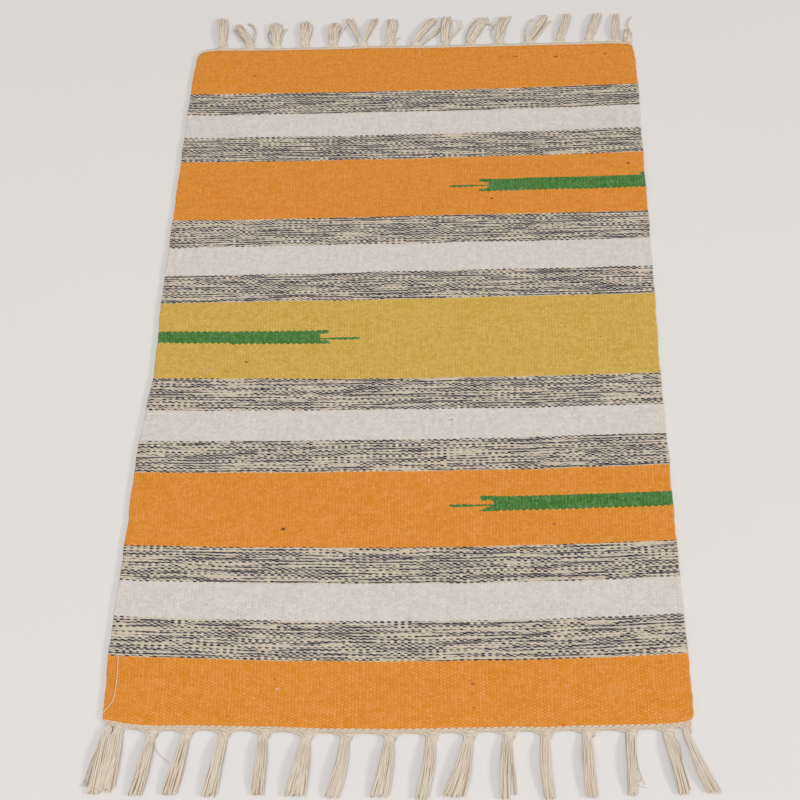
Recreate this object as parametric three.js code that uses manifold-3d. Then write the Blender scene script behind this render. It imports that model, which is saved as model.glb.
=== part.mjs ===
// Kilim rug: a small flat-woven cotton rug that lies flat, with a knotted warp fringe at each end.
// Millimetres, +Z up. X runs across the rug and Y along it, from the near end to the far end.
// The origin is the middle of the woven body's flat underside.

import * as THREE from 'three';
import Module from 'manifold-3d';

// Woven body
const BODY_LENGTH = 910;
const HALF_LENGTH = BODY_LENGTH / 2;
const HALF_WIDTH = 300;
const RIBS = 166;
const BODY_THICKNESS = 4;
const RIB_RELIEF = 0.5;
const SELVEDGE_HEIGHT = 2.6;
const SWELL = { height: 0.25, across: 83, along: 117, phase: 0.6 };
const UNDERSIDE_STEP = 4;

// The rug was woven by hand, so its edges wander and its weft lines aren't quite square to them.
// One row for each section along the rug: y is the section's place on the centre line, left and
// right are the selvedges, and tilt and bow lift the weft line at HALF_WIDTH from the centre.
const SECTIONS = [
  { y: -HALF_LENGTH, left: -308.0, right: 296.2, tilt: 4.4, bow: 6.4 },
  { y: -400, left: -310.5, right: 296.6, tilt: 4.2, bow: 7.2 },
  { y: -250, left: -308.2, right: 296.0, tilt: 5.6, bow: 5.4 },
  { y: -130, left: -306.4, right: 296.6, tilt: 7.4, bow: 3.0 },
  { y: -50, left: -299.6, right: 296.3, tilt: 5.6, bow: 3.8 },
  { y: 60, left: -300.7, right: 298.9, tilt: 8.8, bow: 1.0 },
  { y: 150, left: -299.4, right: 300.3, tilt: 8.6, bow: 0.6 },
  { y: 280, left: -297.2, right: 301.9, tilt: 9.4, bow: 2.8 },
  { y: 400, left: -295.0, right: 304.2, tilt: 9.0, bow: 2.6 },
  { y: HALF_LENGTH, left: -292.6, right: 302.5, tilt: 7.2, bow: 2.2 },
];
const CORNER_RADIUS = { nearLeft: 8, nearRight: 10, farLeft: 16, farRight: 8 };

// End strips: the twined yarn that locks the last weft, a little off the body's edge.
const STRIP_GAP = 0.3;
const STRIP_HEIGHT = 3;
const STRIP_RIPPLE = 0.35;
const STRIP_STEP = 6 * (2 * HALF_WIDTH) / RIBS;

// The strip's section, from its inner edge outwards, in shares of its depth and height.
const STRIP_SECTION = [
  { out: 0, up: 0 },
  { out: 1, up: 0 },
  { out: 1, up: 0.55 },
  { out: 0.72, up: 1 },
  { out: 0.2, up: 0.95 },
  { out: 0, up: 0.6 },
];

// Tassel heads: each is a flat funnel from the strip down to the knot's foot, with its shoulders
// lower than its top. out is measured from the strip's outer edge.
const HEAD_SHOULDER = 0.6;
const HEAD_SECTIONS = [
  { out: -2.5, halfWidth: 8.6, height: 2.6 },
  { out: 1.5, halfWidth: 6.6, height: 3.4 },
  { out: 5.5, halfWidth: 5.3, height: 3.0 },
];

// Strands: three-sided, flat underneath, side by side on the floor.
const STRANDS_PER_TASSEL = 8;
const STRAND_GAP = 0.32;
const ROOT_PITCH = 1.15;
const STRAND_ENDS = { spread: 2.2, perStrand: 2.7, perMillimetre: 0.13 };

// along is the share of the way from the knot's foot to the strand's end.
const STRAND_SECTIONS = [
  { along: 0, height: 1.8 },
  { along: 0.4, height: 2.2 },
  { along: 1, height: 1.5 },
];

// One row for each tassel: root and tip are the places across the rug of its knot and of the
// middle of its ends, width is the bundle's width there, end is how far along the rug it reaches,
// sway bends it on the way, and split parts it into two legs.
const NEAR_FRINGE = {
  outward: -1,
  section: SECTIONS[0],
  stripDepth: 4.8,
  stripFrom: -305,
  stripTo: 293,
  tassels: [
    { root: -300.5, tip: -315.5, width: 16.0, end: -519, sway: 0.5, split: 0 },
    { root: -289.5, tip: -297.5, width: 15.0, end: -517, sway: 1.0, split: 0 },
    { root: -257.5, tip: -267.0, width: 12.5, end: -520, sway: 1.5, split: 0 },
    { root: -222.0, tip: -232.5, width: 13.5, end: -519, sway: 1.0, split: 0 },
    { root: -183.5, tip: -193.0, width: 12.5, end: -521, sway: 0.5, split: 0 },
    { root: -143.0, tip: -144.5, width: 11.0, end: -518, sway: 0.5, split: 0 },
    { root: -99.0, tip: -107.5, width: 19.0, end: -519, sway: 0.5, split: 0 },
    { root: -59.0, tip: -69.5, width: 14.0, end: -520, sway: 2.0, split: 0 },
    { root: -14.0, tip: -23.0, width: 18.0, end: -519, sway: 1.0, split: 0 },
    { root: 28.0, tip: 20.0, width: 13.0, end: -521, sway: 1.5, split: 0 },
    { root: 66.0, tip: 50.0, width: 19.0, end: -518, sway: 2.5, split: 0 },
    { root: 106.0, tip: 104.5, width: 14.0, end: -519, sway: -1.0, split: 0 },
    { root: 144.0, tip: 146.0, width: 9.5, end: -520, sway: -1.5, split: 0 },
    { root: 186.5, tip: 189.0, width: 10.0, end: -517, sway: -1.5, split: 0 },
    { root: 230.5, tip: 228.5, width: 10.0, end: -515, sway: -0.5, split: 0 },
    { root: 268.0, tip: 279.5, width: 11.0, end: -513, sway: 0.5, split: 0 },
    { root: 287.0, tip: 310.5, width: 12.0, end: -512, sway: -0.5, split: 0 },
  ],
};
const FAR_FRINGE = {
  outward: 1,
  section: SECTIONS[SECTIONS.length - 1],
  stripDepth: 5,
  stripFrom: -268,
  stripTo: 300,
  tassels: [
    { root: -260.0, tip: -263.5, width: 13.0, end: 509, sway: 1.0, split: 0 },
    { root: -222.5, tip: -239.5, width: 15.0, end: 495, sway: 1.0, split: 0 },
    { root: -186.0, tip: -188.0, width: 18.0, end: 498, sway: 0.5, split: 0 },
    { root: -147.0, tip: -146.5, width: 16.0, end: 502, sway: 1.0, split: 0 },
    { root: -108.0, tip: -106.0, width: 15.0, end: 500, sway: -1.0, split: 0 },
    { root: -68.0, tip: -69.0, width: 15.0, end: 509, sway: 0, split: 14 },
    { root: -31.0, tip: -26.0, width: 12.5, end: 508, sway: 1.0, split: 0 },
    { root: 4.0, tip: 30.5, width: 11.0, end: 509, sway: 1.5, split: 3.5 },
    { root: 45.5, tip: 48.5, width: 11.5, end: 512, sway: -1.0, split: 0 },
    { root: 81.0, tip: 100.0, width: 13.0, end: 511, sway: 1.0, split: 0 },
    { root: 120.5, tip: 131.5, width: 10.5, end: 513, sway: -2.0, split: 1.5 },
    { root: 160.5, tip: 186.0, width: 13.0, end: 515, sway: 1.5, split: 0 },
    { root: 203.5, tip: 215.0, width: 11.5, end: 517, sway: 0.5, split: 0 },
    { root: 242.5, tip: 258.0, width: 11.5, end: 518, sway: 0.5, split: 0 },
    { root: 279.5, tip: 284.5, width: 8.5, end: 518, sway: -1.0, split: 0 },
    { root: 295.0, tip: 305.5, width: 8.5, end: 518, sway: -3.0, split: 0 },
  ],
};

const wovenCotton = new THREE.MeshStandardMaterial({ color: 0xde8e34, roughness: 0.95, metalness: 0 });
const naturalCotton = new THREE.MeshStandardMaterial({ color: 0xd2c6b2, roughness: 0.95, metalness: 0 });

const mix = (a, b, share) => a + (b - a) * share;

// How far along the rug the weft line of a section lies, at a place across it.
function weftLine(section, x) {
  const across = x / HALF_WIDTH;
  return section.y + section.tilt * across + section.bow * across ** 2;
}

// A slow swell of the cloth, a fraction of a millimetre.
function swell(x, y) {
  const { height, across, along, phase } = SWELL;
  return height * Math.sin(x / across + phase) * Math.sin(y / along + phase);
}

// How far a rounded corner draws the edge in, at a distance from the other edge.
function cornerDrop(distance, radius) {
  if (distance >= radius) return 0;
  const fromCentre = radius - Math.max(distance, 0);
  return radius - Math.sqrt(radius ** 2 - fromCentre ** 2);
}

function cornerInset(section, x) {
  const near = section.y === -HALF_LENGTH;
  const far = section.y === HALF_LENGTH;
  if (!near && !far) return 0;
  const leftRadius = near ? CORNER_RADIUS.nearLeft : CORNER_RADIUS.farLeft;
  const rightRadius = near ? CORNER_RADIUS.nearRight : CORNER_RADIUS.farRight;
  const drop = cornerDrop(x - section.left, leftRadius) + cornerDrop(section.right - x, rightRadius);
  return near ? drop : -drop;
}

// A closed mesh from corner points and triangles, turned so that its faces point out.
function closedMesh(points, faces) {
  const a = new THREE.Vector3();
  const b = new THREE.Vector3();
  const c = new THREE.Vector3();
  let volume = 0;
  for (const face of faces) {
    a.fromArray(points[face[0]]);
    b.fromArray(points[face[1]]);
    c.fromArray(points[face[2]]);
    volume += a.dot(b.cross(c));
  }
  const outward = volume > 0 ? faces : faces.map(([i, j, k]) => [i, k, j]);
  const geometry = new THREE.BufferGeometry();
  geometry.setAttribute('position', new THREE.Float32BufferAttribute(points.flat(), 3));
  geometry.setIndex(outward.flat());
  return geometry;
}

// A closed mesh through a row of sections, each a convex ring of the same number of points.
function loft(rings) {
  const size = rings[0].length;
  const faces = [];
  for (let r = 0; r + 1 < rings.length; r++) {
    for (let i = 0; i < size; i++) {
      const here = r * size + i;
      const next = r * size + ((i + 1) % size);
      faces.push([here, next, here + size]);
      faces.push([next, next + size, here + size]);
    }
  }
  const last = (rings.length - 1) * size;
  for (let i = 1; i + 1 < size; i++) {
    faces.push([0, i + 1, i]);
    faces.push([last, last + i, last + i + 1]);
  }
  return closedMesh(rings.flat(), faces);
}

// A run of point numbers, from one end of a span to the other.
const run = (from, step, count) => Array.from({ length: count + 1 }, (_, i) => from + i * step);

// The woven body: warp ribs run along the top and the underside is flat. Its rim is cut into
// spans, and each span's wall goes down to one underside point at either end.
function bodyGeometry() {
  const columns = 2 * RIBS;
  const rowLength = columns + 1;
  const rows = SECTIONS.length - 1;
  const lastRow = rows * rowLength;
  const points = [];
  for (const section of SECTIONS) {
    for (let c = 0; c <= columns; c++) {
      const x = mix(section.left, section.right, c / columns);
      const y = weftLine(section, x) + cornerInset(section, x);
      const atSelvedge = c === 0 || c === columns;
      const ribTop = BODY_THICKNESS - (c % 2 === 0 ? RIB_RELIEF : 0);
      points.push([x, y, atSelvedge ? SELVEDGE_HEIGHT : ribTop + swell(x, y)]);
    }
  }

  const faces = [];
  for (let r = 0; r < rows; r++) {
    for (let c = 0; c < columns; c++) {
      const here = r * rowLength + c;
      faces.push([here, here + 1, here + rowLength]);
      faces.push([here + 1, here + rowLength + 1, here + rowLength]);
    }
  }

  const spans = [];
  for (let c = 0; c < columns; c += UNDERSIDE_STEP) spans.push(run(c, 1, UNDERSIDE_STEP));
  for (let r = 0; r < rows; r++) spans.push(run(r * rowLength + columns, rowLength, 1));
  for (let c = columns; c > 0; c -= UNDERSIDE_STEP) spans.push(run(lastRow + c, -1, UNDERSIDE_STEP));
  for (let r = rows; r > 0; r--) spans.push(run(r * rowLength, -rowLength, 1));

  const firstBelow = points.length;
  const outline = [];
  for (const span of spans) {
    const [x, y] = points[span[0]];
    points.push([x, y, 0]);
    outline.push(new THREE.Vector2(x, y));
  }
  spans.forEach((span, i) => {
    const below = firstBelow + i;
    const nextBelow = firstBelow + ((i + 1) % spans.length);
    for (let s = 0; s + 1 < span.length; s++) faces.push([below, span[s + 1], span[s]]);
    faces.push([below, nextBelow, span[span.length - 1]]);
  });
  for (const triangle of THREE.ShapeUtils.triangulateShape(outline, [])) {
    const seenFromAbove = THREE.ShapeUtils.area(triangle.map((i) => outline[i])) > 0;
    const [i, j, k] = triangle.map((corner) => firstBelow + corner);
    faces.push(seenFromAbove ? [k, j, i] : [i, j, k]);
  }
  return closedMesh(points, faces);
}

// The strip follows the body's end, a gap away, and every other section of it stands lower.
function stripGeometry(fringe) {
  const steps = Math.round((fringe.stripTo - fringe.stripFrom) / STRIP_STEP);
  const rings = [];
  for (let i = 0; i <= steps; i++) {
    const x = mix(fringe.stripFrom, fringe.stripTo, i / steps);
    const height = STRIP_HEIGHT - (i % 2) * STRIP_RIPPLE;
    rings.push(STRIP_SECTION.map(({ out, up }) => {
      const fromBody = STRIP_GAP + out * (fringe.stripDepth - STRIP_GAP);
      return [x, weftLine(fringe.section, x) + fringe.outward * fromBody, up * height];
    }));
  }
  return loft(rings);
}

// The place along the rug of a tassel's point, from its distance past the strip's outer edge.
function beyondStrip(fringe, tassel, distance) {
  return weftLine(fringe.section, tassel.root) + fringe.outward * (fringe.stripDepth + distance);
}

function headGeometry(fringe, tassel) {
  return loft(HEAD_SECTIONS.map(({ out, halfWidth, height }) => {
    const y = beyondStrip(fringe, tassel, out);
    return [
      [tassel.root - halfWidth, y, 0],
      [tassel.root + halfWidth, y, 0],
      [tassel.root + halfWidth, y, HEAD_SHOULDER * height],
      [tassel.root + halfWidth / 2, y, height],
      [tassel.root - halfWidth / 2, y, height],
      [tassel.root - halfWidth, y, HEAD_SHOULDER * height],
    ];
  }));
}

// Strand ends aren't level: each stops at its own distance from the tassel's end.
function endShift(tassel, strand) {
  const { spread, perStrand, perMillimetre } = STRAND_ENDS;
  return spread * Math.sin(perStrand * strand + perMillimetre * tassel.root);
}

function strandGeometry(fringe, tassel, strand) {
  const foot = beyondStrip(fringe, tassel, HEAD_SECTIONS[HEAD_SECTIONS.length - 1].out);
  const end = tassel.end + endShift(tassel, strand);
  const place = strand - (STRANDS_PER_TASSEL - 1) / 2;
  return loft(STRAND_SECTIONS.map(({ along, height }) => {
    const pitch = mix(ROOT_PITCH, tassel.width / STRANDS_PER_TASSEL, along);
    const halfWidth = (pitch - STRAND_GAP) / 2;
    const lean = (tassel.tip - tassel.root) * along + tassel.sway * Math.sin(Math.PI * along);
    const x = tassel.root + lean + Math.sign(place) * tassel.split * along + place * pitch;
    const y = mix(foot, end, along);
    return [[x - halfWidth, y, 0], [x + halfWidth, y, 0], [x, y, height]];
  }));
}

const wasm = await Module();
wasm.setup();

function toSolid(geometry) {
  return new wasm.Manifold(new wasm.Mesh({
    numProp: 3,
    vertProperties: geometry.getAttribute('position').array,
    triVerts: Uint32Array.from(geometry.getIndex().array),
  }));
}

function toGeometry(solid) {
  const { vertProperties, triVerts } = solid.getMesh();
  const geometry = new THREE.BufferGeometry();
  geometry.setAttribute('position', new THREE.BufferAttribute(vertProperties, 3));
  geometry.setIndex(new THREE.BufferAttribute(triVerts, 1));
  return geometry;
}

// One end's strip with its tassels: heads and strands are joined only at the strip and the knots.
function fringeGeometry(fringe) {
  let solid = toSolid(stripGeometry(fringe));
  for (const tassel of fringe.tassels) {
    let bundle = toSolid(headGeometry(fringe, tassel));
    for (let strand = 0; strand < STRANDS_PER_TASSEL; strand++) {
      bundle = bundle.add(toSolid(strandGeometry(fringe, tassel, strand)));
    }
    solid = solid.add(bundle);
  }
  return toGeometry(solid);
}

function namedMesh(name, geometry, material) {
  const mesh = new THREE.Mesh(geometry, material);
  mesh.name = name;
  return mesh;
}

const rug = new THREE.Group();
rug.add(namedMesh('rug_body', bodyGeometry(), wovenCotton));
rug.add(namedMesh('near_fringe', fringeGeometry(NEAR_FRINGE), naturalCotton));
rug.add(namedMesh('far_fringe', fringeGeometry(FAR_FRINGE), naturalCotton));

export default rug;
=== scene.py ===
# Kilim rug: a small flat-woven cotton rug lying flat, with banded weft stripes, tapestry bars and
# a knotted warp fringe at each end. Metres, +Z up; tables are in millimetres where their names say so.

import math
import random
from types import SimpleNamespace
from typing import NamedTuple

import bpy
import numpy as np
from bpy.props import FloatProperty, FloatVectorProperty, IntProperty, PointerProperty
from mathutils import Matrix, Vector


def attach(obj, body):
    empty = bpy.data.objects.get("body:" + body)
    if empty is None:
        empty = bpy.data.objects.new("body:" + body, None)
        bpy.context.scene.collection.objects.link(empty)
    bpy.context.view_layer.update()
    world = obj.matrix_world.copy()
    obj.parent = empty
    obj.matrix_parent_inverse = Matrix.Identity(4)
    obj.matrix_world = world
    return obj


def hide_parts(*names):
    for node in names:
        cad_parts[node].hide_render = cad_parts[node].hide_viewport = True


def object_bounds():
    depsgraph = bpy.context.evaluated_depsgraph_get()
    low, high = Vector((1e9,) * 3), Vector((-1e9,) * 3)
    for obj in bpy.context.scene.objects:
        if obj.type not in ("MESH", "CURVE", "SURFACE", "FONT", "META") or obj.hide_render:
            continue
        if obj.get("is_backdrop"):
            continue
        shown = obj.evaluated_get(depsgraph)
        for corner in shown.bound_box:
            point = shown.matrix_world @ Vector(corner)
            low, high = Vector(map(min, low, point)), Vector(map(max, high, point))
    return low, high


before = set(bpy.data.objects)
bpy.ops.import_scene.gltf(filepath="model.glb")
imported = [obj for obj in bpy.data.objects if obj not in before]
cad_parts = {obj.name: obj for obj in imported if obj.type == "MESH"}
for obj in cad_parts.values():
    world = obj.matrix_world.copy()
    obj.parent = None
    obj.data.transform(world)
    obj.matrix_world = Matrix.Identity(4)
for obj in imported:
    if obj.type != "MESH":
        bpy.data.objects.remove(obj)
CAD_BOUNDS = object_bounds()

bl_info = {
    "name": "Kilim Rug",
    "version": (1, 0, 0),
    "blender": (4, 5, 0),
    "location": "View3D > Sidebar > Kilim Rug",
    "description": "Builds a flat-woven kilim rug with a knotted fringe at each end",
    "category": "Add Mesh",
}

MM = 0.001

# The woven body: one row for each section along the rug. y is its place on the centre line, left
# and right are the selvedges, and tilt and bow lift the weft line at HALF_WIDTH from the centre.
HALF_LENGTH_MM = 455
HALF_WIDTH_MM = 300
SECTIONS_MM = [
    {"y": -455, "left": -308.0, "right": 296.2, "tilt": 4.4, "bow": 6.4},
    {"y": -400, "left": -310.5, "right": 296.6, "tilt": 4.2, "bow": 7.2},
    {"y": -250, "left": -308.2, "right": 296.0, "tilt": 5.6, "bow": 5.4},
    {"y": -130, "left": -306.4, "right": 296.6, "tilt": 7.4, "bow": 3.0},
    {"y": -50, "left": -299.6, "right": 296.3, "tilt": 5.6, "bow": 3.8},
    {"y": 60, "left": -300.7, "right": 298.9, "tilt": 8.8, "bow": 1.0},
    {"y": 150, "left": -299.4, "right": 300.3, "tilt": 8.6, "bow": 0.6},
    {"y": 280, "left": -297.2, "right": 301.9, "tilt": 9.4, "bow": 2.8},
    {"y": 400, "left": -295.0, "right": 304.2, "tilt": 9.0, "bow": 2.6},
    {"y": 455, "left": -292.6, "right": 302.5, "tilt": 7.2, "bow": 2.2},
]
CORNER_RADIUS_MM = {"near_left": 1.5, "near_right": 8, "far_left": 16, "far_right": 8}

# The last wefts aren't quite even: how far each end's line lies inwards, at places across the rug.
END_LINES_MM = {
    "near": [
        (-308, 3.7), (-303, 3.4), (-298, 2.7), (-292, 1.7), (-285, 0.8), (-277, 0.0), (-266, -0.6),
        (-250, -0.6), (-226, 0.9), (-194, 1.4), (-133, 1.5), (-102, 0.5), (-10, 0.1), (50, 0.7),
        (114, 1.0), (144, 0.0), (175, 0.5), (206, -0.5), (250, -0.8), (270, -1.0), (283, 0.1), (296, 1.2),
    ],
    "far": [
        (-292, 0.0), (-280, 0.1), (-270, -0.9), (-264, -1.8), (-250, -1.3), (-224, -0.9), (-183, -0.9),
        (-142, -1.2), (-101, -1.4), (-60, -2.6), (-20, -2.1), (21, -1.0), (62, -1.4), (103, -1.5),
        (185, -1.5), (226, -1.0), (266, -1.5), (283, -0.8), (291, 0.4), (302, 0.5),
    ],
}

# A selvedge wanders a little where the weft was pulled more or less: length of the wave, its
# reach and its start, for the left and the right selvedge.
SELVEDGE_WAVES_MM = {
    "left": [(61, 0.45, 0.4), (23, 0.30, 2.0), (9.5, 0.16, 1.1)],
    "right": [(54, 0.40, 1.9), (19, 0.28, 0.3), (8.7, 0.16, 2.6)],
}

# The selvedge's half round, from the top to the underside: how far in from the edge and how high
# each line of it runs, and its place on the weave map, in ribs.
SELVEDGE_PROFILE_MM = [
    {"inset": 0.85, "up": 3.72, "rib": 0.22},
    {"inset": 0.24, "up": 3.05, "rib": -0.03},
    {"inset": 0.00, "up": 2.05, "rib": -0.30},
    {"inset": 0.24, "up": 1.05, "rib": -0.58},
    {"inset": 0.85, "up": 0.30, "rib": -0.84},
]

# The cloth's ends are rounded over the last pick: distance from the end, and share of the height.
END_ROUNDING_MM = [(0.0, 0.62), (0.45, 0.86), (1.3, 1.0)]

# How much of the ribs' relief is left on the rounded ends.
END_CROWN = 0.35

# An end's rounded corners and its uneven last weft fade into the cloth over this length.
END_BLEND_MM = 40

# The cloth's thickness, the pitch of its picks and the number of its warp ribs.
THICKNESS_MM = 4.0
PICK_MM = 1.64
RIBS = 166

# A rib's width, rounded, for the scale of fibres and dye across the rug.
RIB_MM = 3.62

# The cloth's mesh: columns to a rib on top, columns on top to one below, the rows between the
# rounded ends and how far from an end they start.
COLUMNS_PER_RIB = 4
BELOW_EACH = 8
ROWS = 115
FIRST_ROW_MM = 6

# Weft bands from the near end to the far end: where each ends on the centre line.
BANDS_MM = [
    ("orange", -386.0),
    ("marl", -342.5),
    ("white", -301.0),
    ("marl", -260.0),
    ("orange", -171.0),
    ("marl", -131.5),
    ("white", -94.0),
    ("marl", -52.5),
    ("yellow", 55.5),
    ("marl", 95.5),
    ("white", 135.5),
    ("marl", 177.0),
    ("orange", 267.0),
    ("marl", 306.5),
    ("white", 344.0),
    ("marl", 380.0),
    ("orange", 455.0),
]

# Tapestry bars, each woven in from one selvedge. low and high are its edges on the centre line;
# bar and the tips are in ribs from the selvedge. A prong runs on past the bar along one of its
# edges, from root to tip picks deep, and may end in a knob. The spear is one pick between them.
# At the selvedge the upper edge may step up by some picks, and from wider_from ribs inwards the
# lower edge takes in one pick more. teeth says where the lower and the upper edge turn between two
# picks: half way they are full, and nearer to a pick they are slight.
BARS = [
    {
        "from_left": False,
        "teeth": (0.45, 0.8),
        "low": -220.0,
        "high": -204.0,
        "bar": 54.6,
        "upper": {"tip": 58.7, "root": 3.2, "end": 1.7, "knob": 1.5},
        "lower": {"tip": 59.0, "root": 3.5, "end": 0.6, "knob": 0.0},
        "spear": {"tip": 68.2, "at": -213.4, "thin": 59.5},
        "step": 0.0,
        "wider_from": RIBS,
    },
    {
        "from_left": True,
        "teeth": (0.45, 0.6),
        "low": -3.5,
        "high": 12.8,
        "bar": 54.2,
        "upper": {"tip": 56.8, "root": 3.3, "end": 2.3, "knob": 0.0},
        "lower": {"tip": 57.4, "root": 3.0, "end": 1.3, "knob": 1.4},
        "spear": {"tip": 67.3, "at": 1.9, "thin": 56.0},
        "step": 0.0,
        "wider_from": 24,
    },
    {
        "from_left": False,
        "teeth": (0.4, 0.85),
        "low": 213.0,
        "high": 231.0,
        "bar": 55.4,
        "upper": {"tip": 58.9, "root": 3.1, "end": 2.4, "knob": 0.0},
        "lower": {"tip": 59.2, "root": 2.9, "end": 1.4, "knob": 0.0},
        "spear": {"tip": 69.4, "at": 221.9, "thin": 58.6},
        "step": 2.4,
        "wider_from": RIBS,
    },
]

# Coarse places in single picks: the rib and the pick where each lies, its reach in ribs and in
# picks, and its colour from 0 to 255.
SLUBS = [
    (47.6, 131.5, 0.75, 1.15, (74, 58, 60)),
    (30.3, 258.8, 0.7, 0.8, (116, 92, 60)),
    (18.0, 252.5, 2.6, 0.6, (214, 162, 122)),
    (23.9, 251.3, 1.0, 0.7, (192, 136, 84)),
    (160.2, 429.9, 0.6, 0.9, (110, 62, 50)),
    (111.5, 400.1, 0.6, 0.9, (120, 66, 44)),
    (129.5, 132.8, 0.7, 0.8, (190, 92, 50)),
    (91.6, 165.8, 0.35, 1.3, (232, 180, 130)),
    (120.9, 542.6, 1.1, 0.8, (176, 92, 30)),
    (136.2, 541.2, 0.8, 0.9, (160, 84, 32)),
    (154.7, 543.2, 1.1, 0.9, (186, 104, 36)),
    (129.6, 0.9, 0.7, 0.9, (226, 104, 48)),
    (49.0, 24.5, 0.5, 0.6, (226, 200, 190)),
    (104.5, 27.7, 0.6, 0.8, (140, 78, 26)),
    (48.3, 30.6, 0.35, 0.6, (192, 112, 38)),
    (157.7, 37.2, 0.35, 0.6, (186, 106, 42)),
    (23.2, 527.8, 0.5, 0.8, (150, 88, 34)),
    (98.3, 211.6, 0.5, 0.7, (150, 142, 132)),
]


def linear(red, green, blue):
    """An sRGB colour in 0 to 255 as linear values."""

    def one(value):
        share = value / 255
        return share / 12.92 if share <= 0.04045 else ((share + 0.055) / 1.055) ** 2.4

    return (one(red), one(green), one(blue))


def length_setting(name, description, default):
    """A length that a user may change."""
    return FloatProperty(
        name=name, description=description, default=default, unit="LENGTH", subtype="DISTANCE"
    )


def colour_setting(name, description, *srgb):
    """A colour that a user may change, from its sRGB values in 0 to 255."""
    return FloatVectorProperty(
        name=name, description=description, default=linear(*srgb), subtype="COLOR"
    )


class WeaveSizes(bpy.types.PropertyGroup):
    """Sizes of the woven body."""

    relief: length_setting(
        "Rib Relief", "How far the warp ribs stand above the grooves between them", 0.17 * MM
    )
    swell: length_setting("Swell", "Height of the cloth's slow swell", 0.25 * MM)
    unevenness: length_setting("Unevenness", "Height of the small unevenness of hand weaving", 0.18 * MM)
    float_relief: length_setting("Float Relief", "Height of one weft float, as bump", 0.70 * MM)


class YarnColours(bpy.types.PropertyGroup):
    """Colours of the dyed and natural yarns."""

    orange: colour_setting("Orange", "Weft of the wide orange bands", 227, 147, 60)
    yellow: colour_setting("Yellow", "Weft of the middle band", 213, 176, 88)
    white: colour_setting("White", "Weft of the narrow white bands", 216, 209, 201)
    navy: colour_setting("Navy", "Dark strand of the marl bands", 39, 39, 61)
    beige: colour_setting("Beige", "Light strand of the marl bands", 212, 199, 174)
    beige_pink: colour_setting(
        "Beige, Pinker", "Light strand of the marl bands where its dye took differently", 212, 195, 181
    )
    green: colour_setting("Green", "Weft of the tapestry bars", 82, 130, 67)
    natural: colour_setting("Natural", "Undyed warp yarn of the end strips and the fringe", 223, 210, 193)
    natural_shade: colour_setting(
        "Natural, Shaded", "Undyed yarn in the grooves between its plies", 178, 151, 120
    )


class FringeSizes(bpy.types.PropertyGroup):
    """Sizes of the end strips and the fringe."""

    yarn_radius: length_setting("Yarn Radius", "Radius of a fringe yarn", 0.62 * MM)
    yarns_per_mm: FloatProperty(
        name="Yarns per Millimetre",
        description="Yarns in a tassel for each millimetre of its width",
        default=2.5,
    )
    yarn_step: length_setting("Yarn Step", "Length of one step along a fringe yarn", 3.0 * MM)
    strip_step: length_setting("Strip Step", "Length of one step along a strip's weft", 0.95 * MM)
    sides: IntProperty(
        name="Sides",
        description="Sides of a yarn's section",
        default=5,
        min=3,
    )


class StageSettings(bpy.types.PropertyGroup):
    """The floor and the studio light."""

    floor_colour: colour_setting("Floor", "Colour of the plain pale floor", 226, 223, 219)
    floor_size: length_setting("Floor Size", "Length of the floor's sides", 12.0)
    key_power: FloatProperty(
        name="Key Power",
        description="Power of the soft light low on the right",
        default=264.0,
        unit="POWER",
    )
    top_power: FloatProperty(
        name="Top Power",
        description="Power of the large soft light overhead",
        default=109.0,
        unit="POWER",
    )
    sky: FloatProperty(
        name="Sky",
        description="Strength of the even light from all round",
        default=0.46,
    )


# Node trees


def socket_of(sockets, key):
    """A socket by its place, its identifier or its name."""
    if isinstance(key, int):
        return sockets[key]
    for socket in sockets:
        if socket.identifier == key:
            return socket
    return sockets[key]


class Wire:
    """One output of a node, with Python's operators as Math nodes."""

    def __init__(self, graph, node, output=0):
        self.graph = graph
        self.node = node
        self.socket = socket_of(node.outputs, output)

    def out(self, name):
        return Wire(self.graph, self.node, name)

    def __add__(self, other):
        return self.graph.math("ADD", self, other)

    def __radd__(self, other):
        return self.graph.math("ADD", other, self)

    def __sub__(self, other):
        return self.graph.math("SUBTRACT", self, other)

    def __rsub__(self, other):
        return self.graph.math("SUBTRACT", other, self)

    def __mul__(self, other):
        return self.graph.math("MULTIPLY", self, other)

    def __rmul__(self, other):
        return self.graph.math("MULTIPLY", other, self)

    def __truediv__(self, other):
        return self.graph.math("DIVIDE", self, other)

    def __rtruediv__(self, other):
        return self.graph.math("DIVIDE", other, self)

    def __pow__(self, other):
        return self.graph.math("POWER", self, other)

    def __lt__(self, other):
        return self.graph.math("LESS_THAN", self, other)

    def __gt__(self, other):
        return self.graph.math("GREATER_THAN", self, other)

    def __abs__(self):
        return self.graph.math("ABSOLUTE", self)

    def __floor__(self):
        return self.graph.math("FLOOR", self)

    def __round__(self):
        return self.graph.math("ROUND", self)


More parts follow.
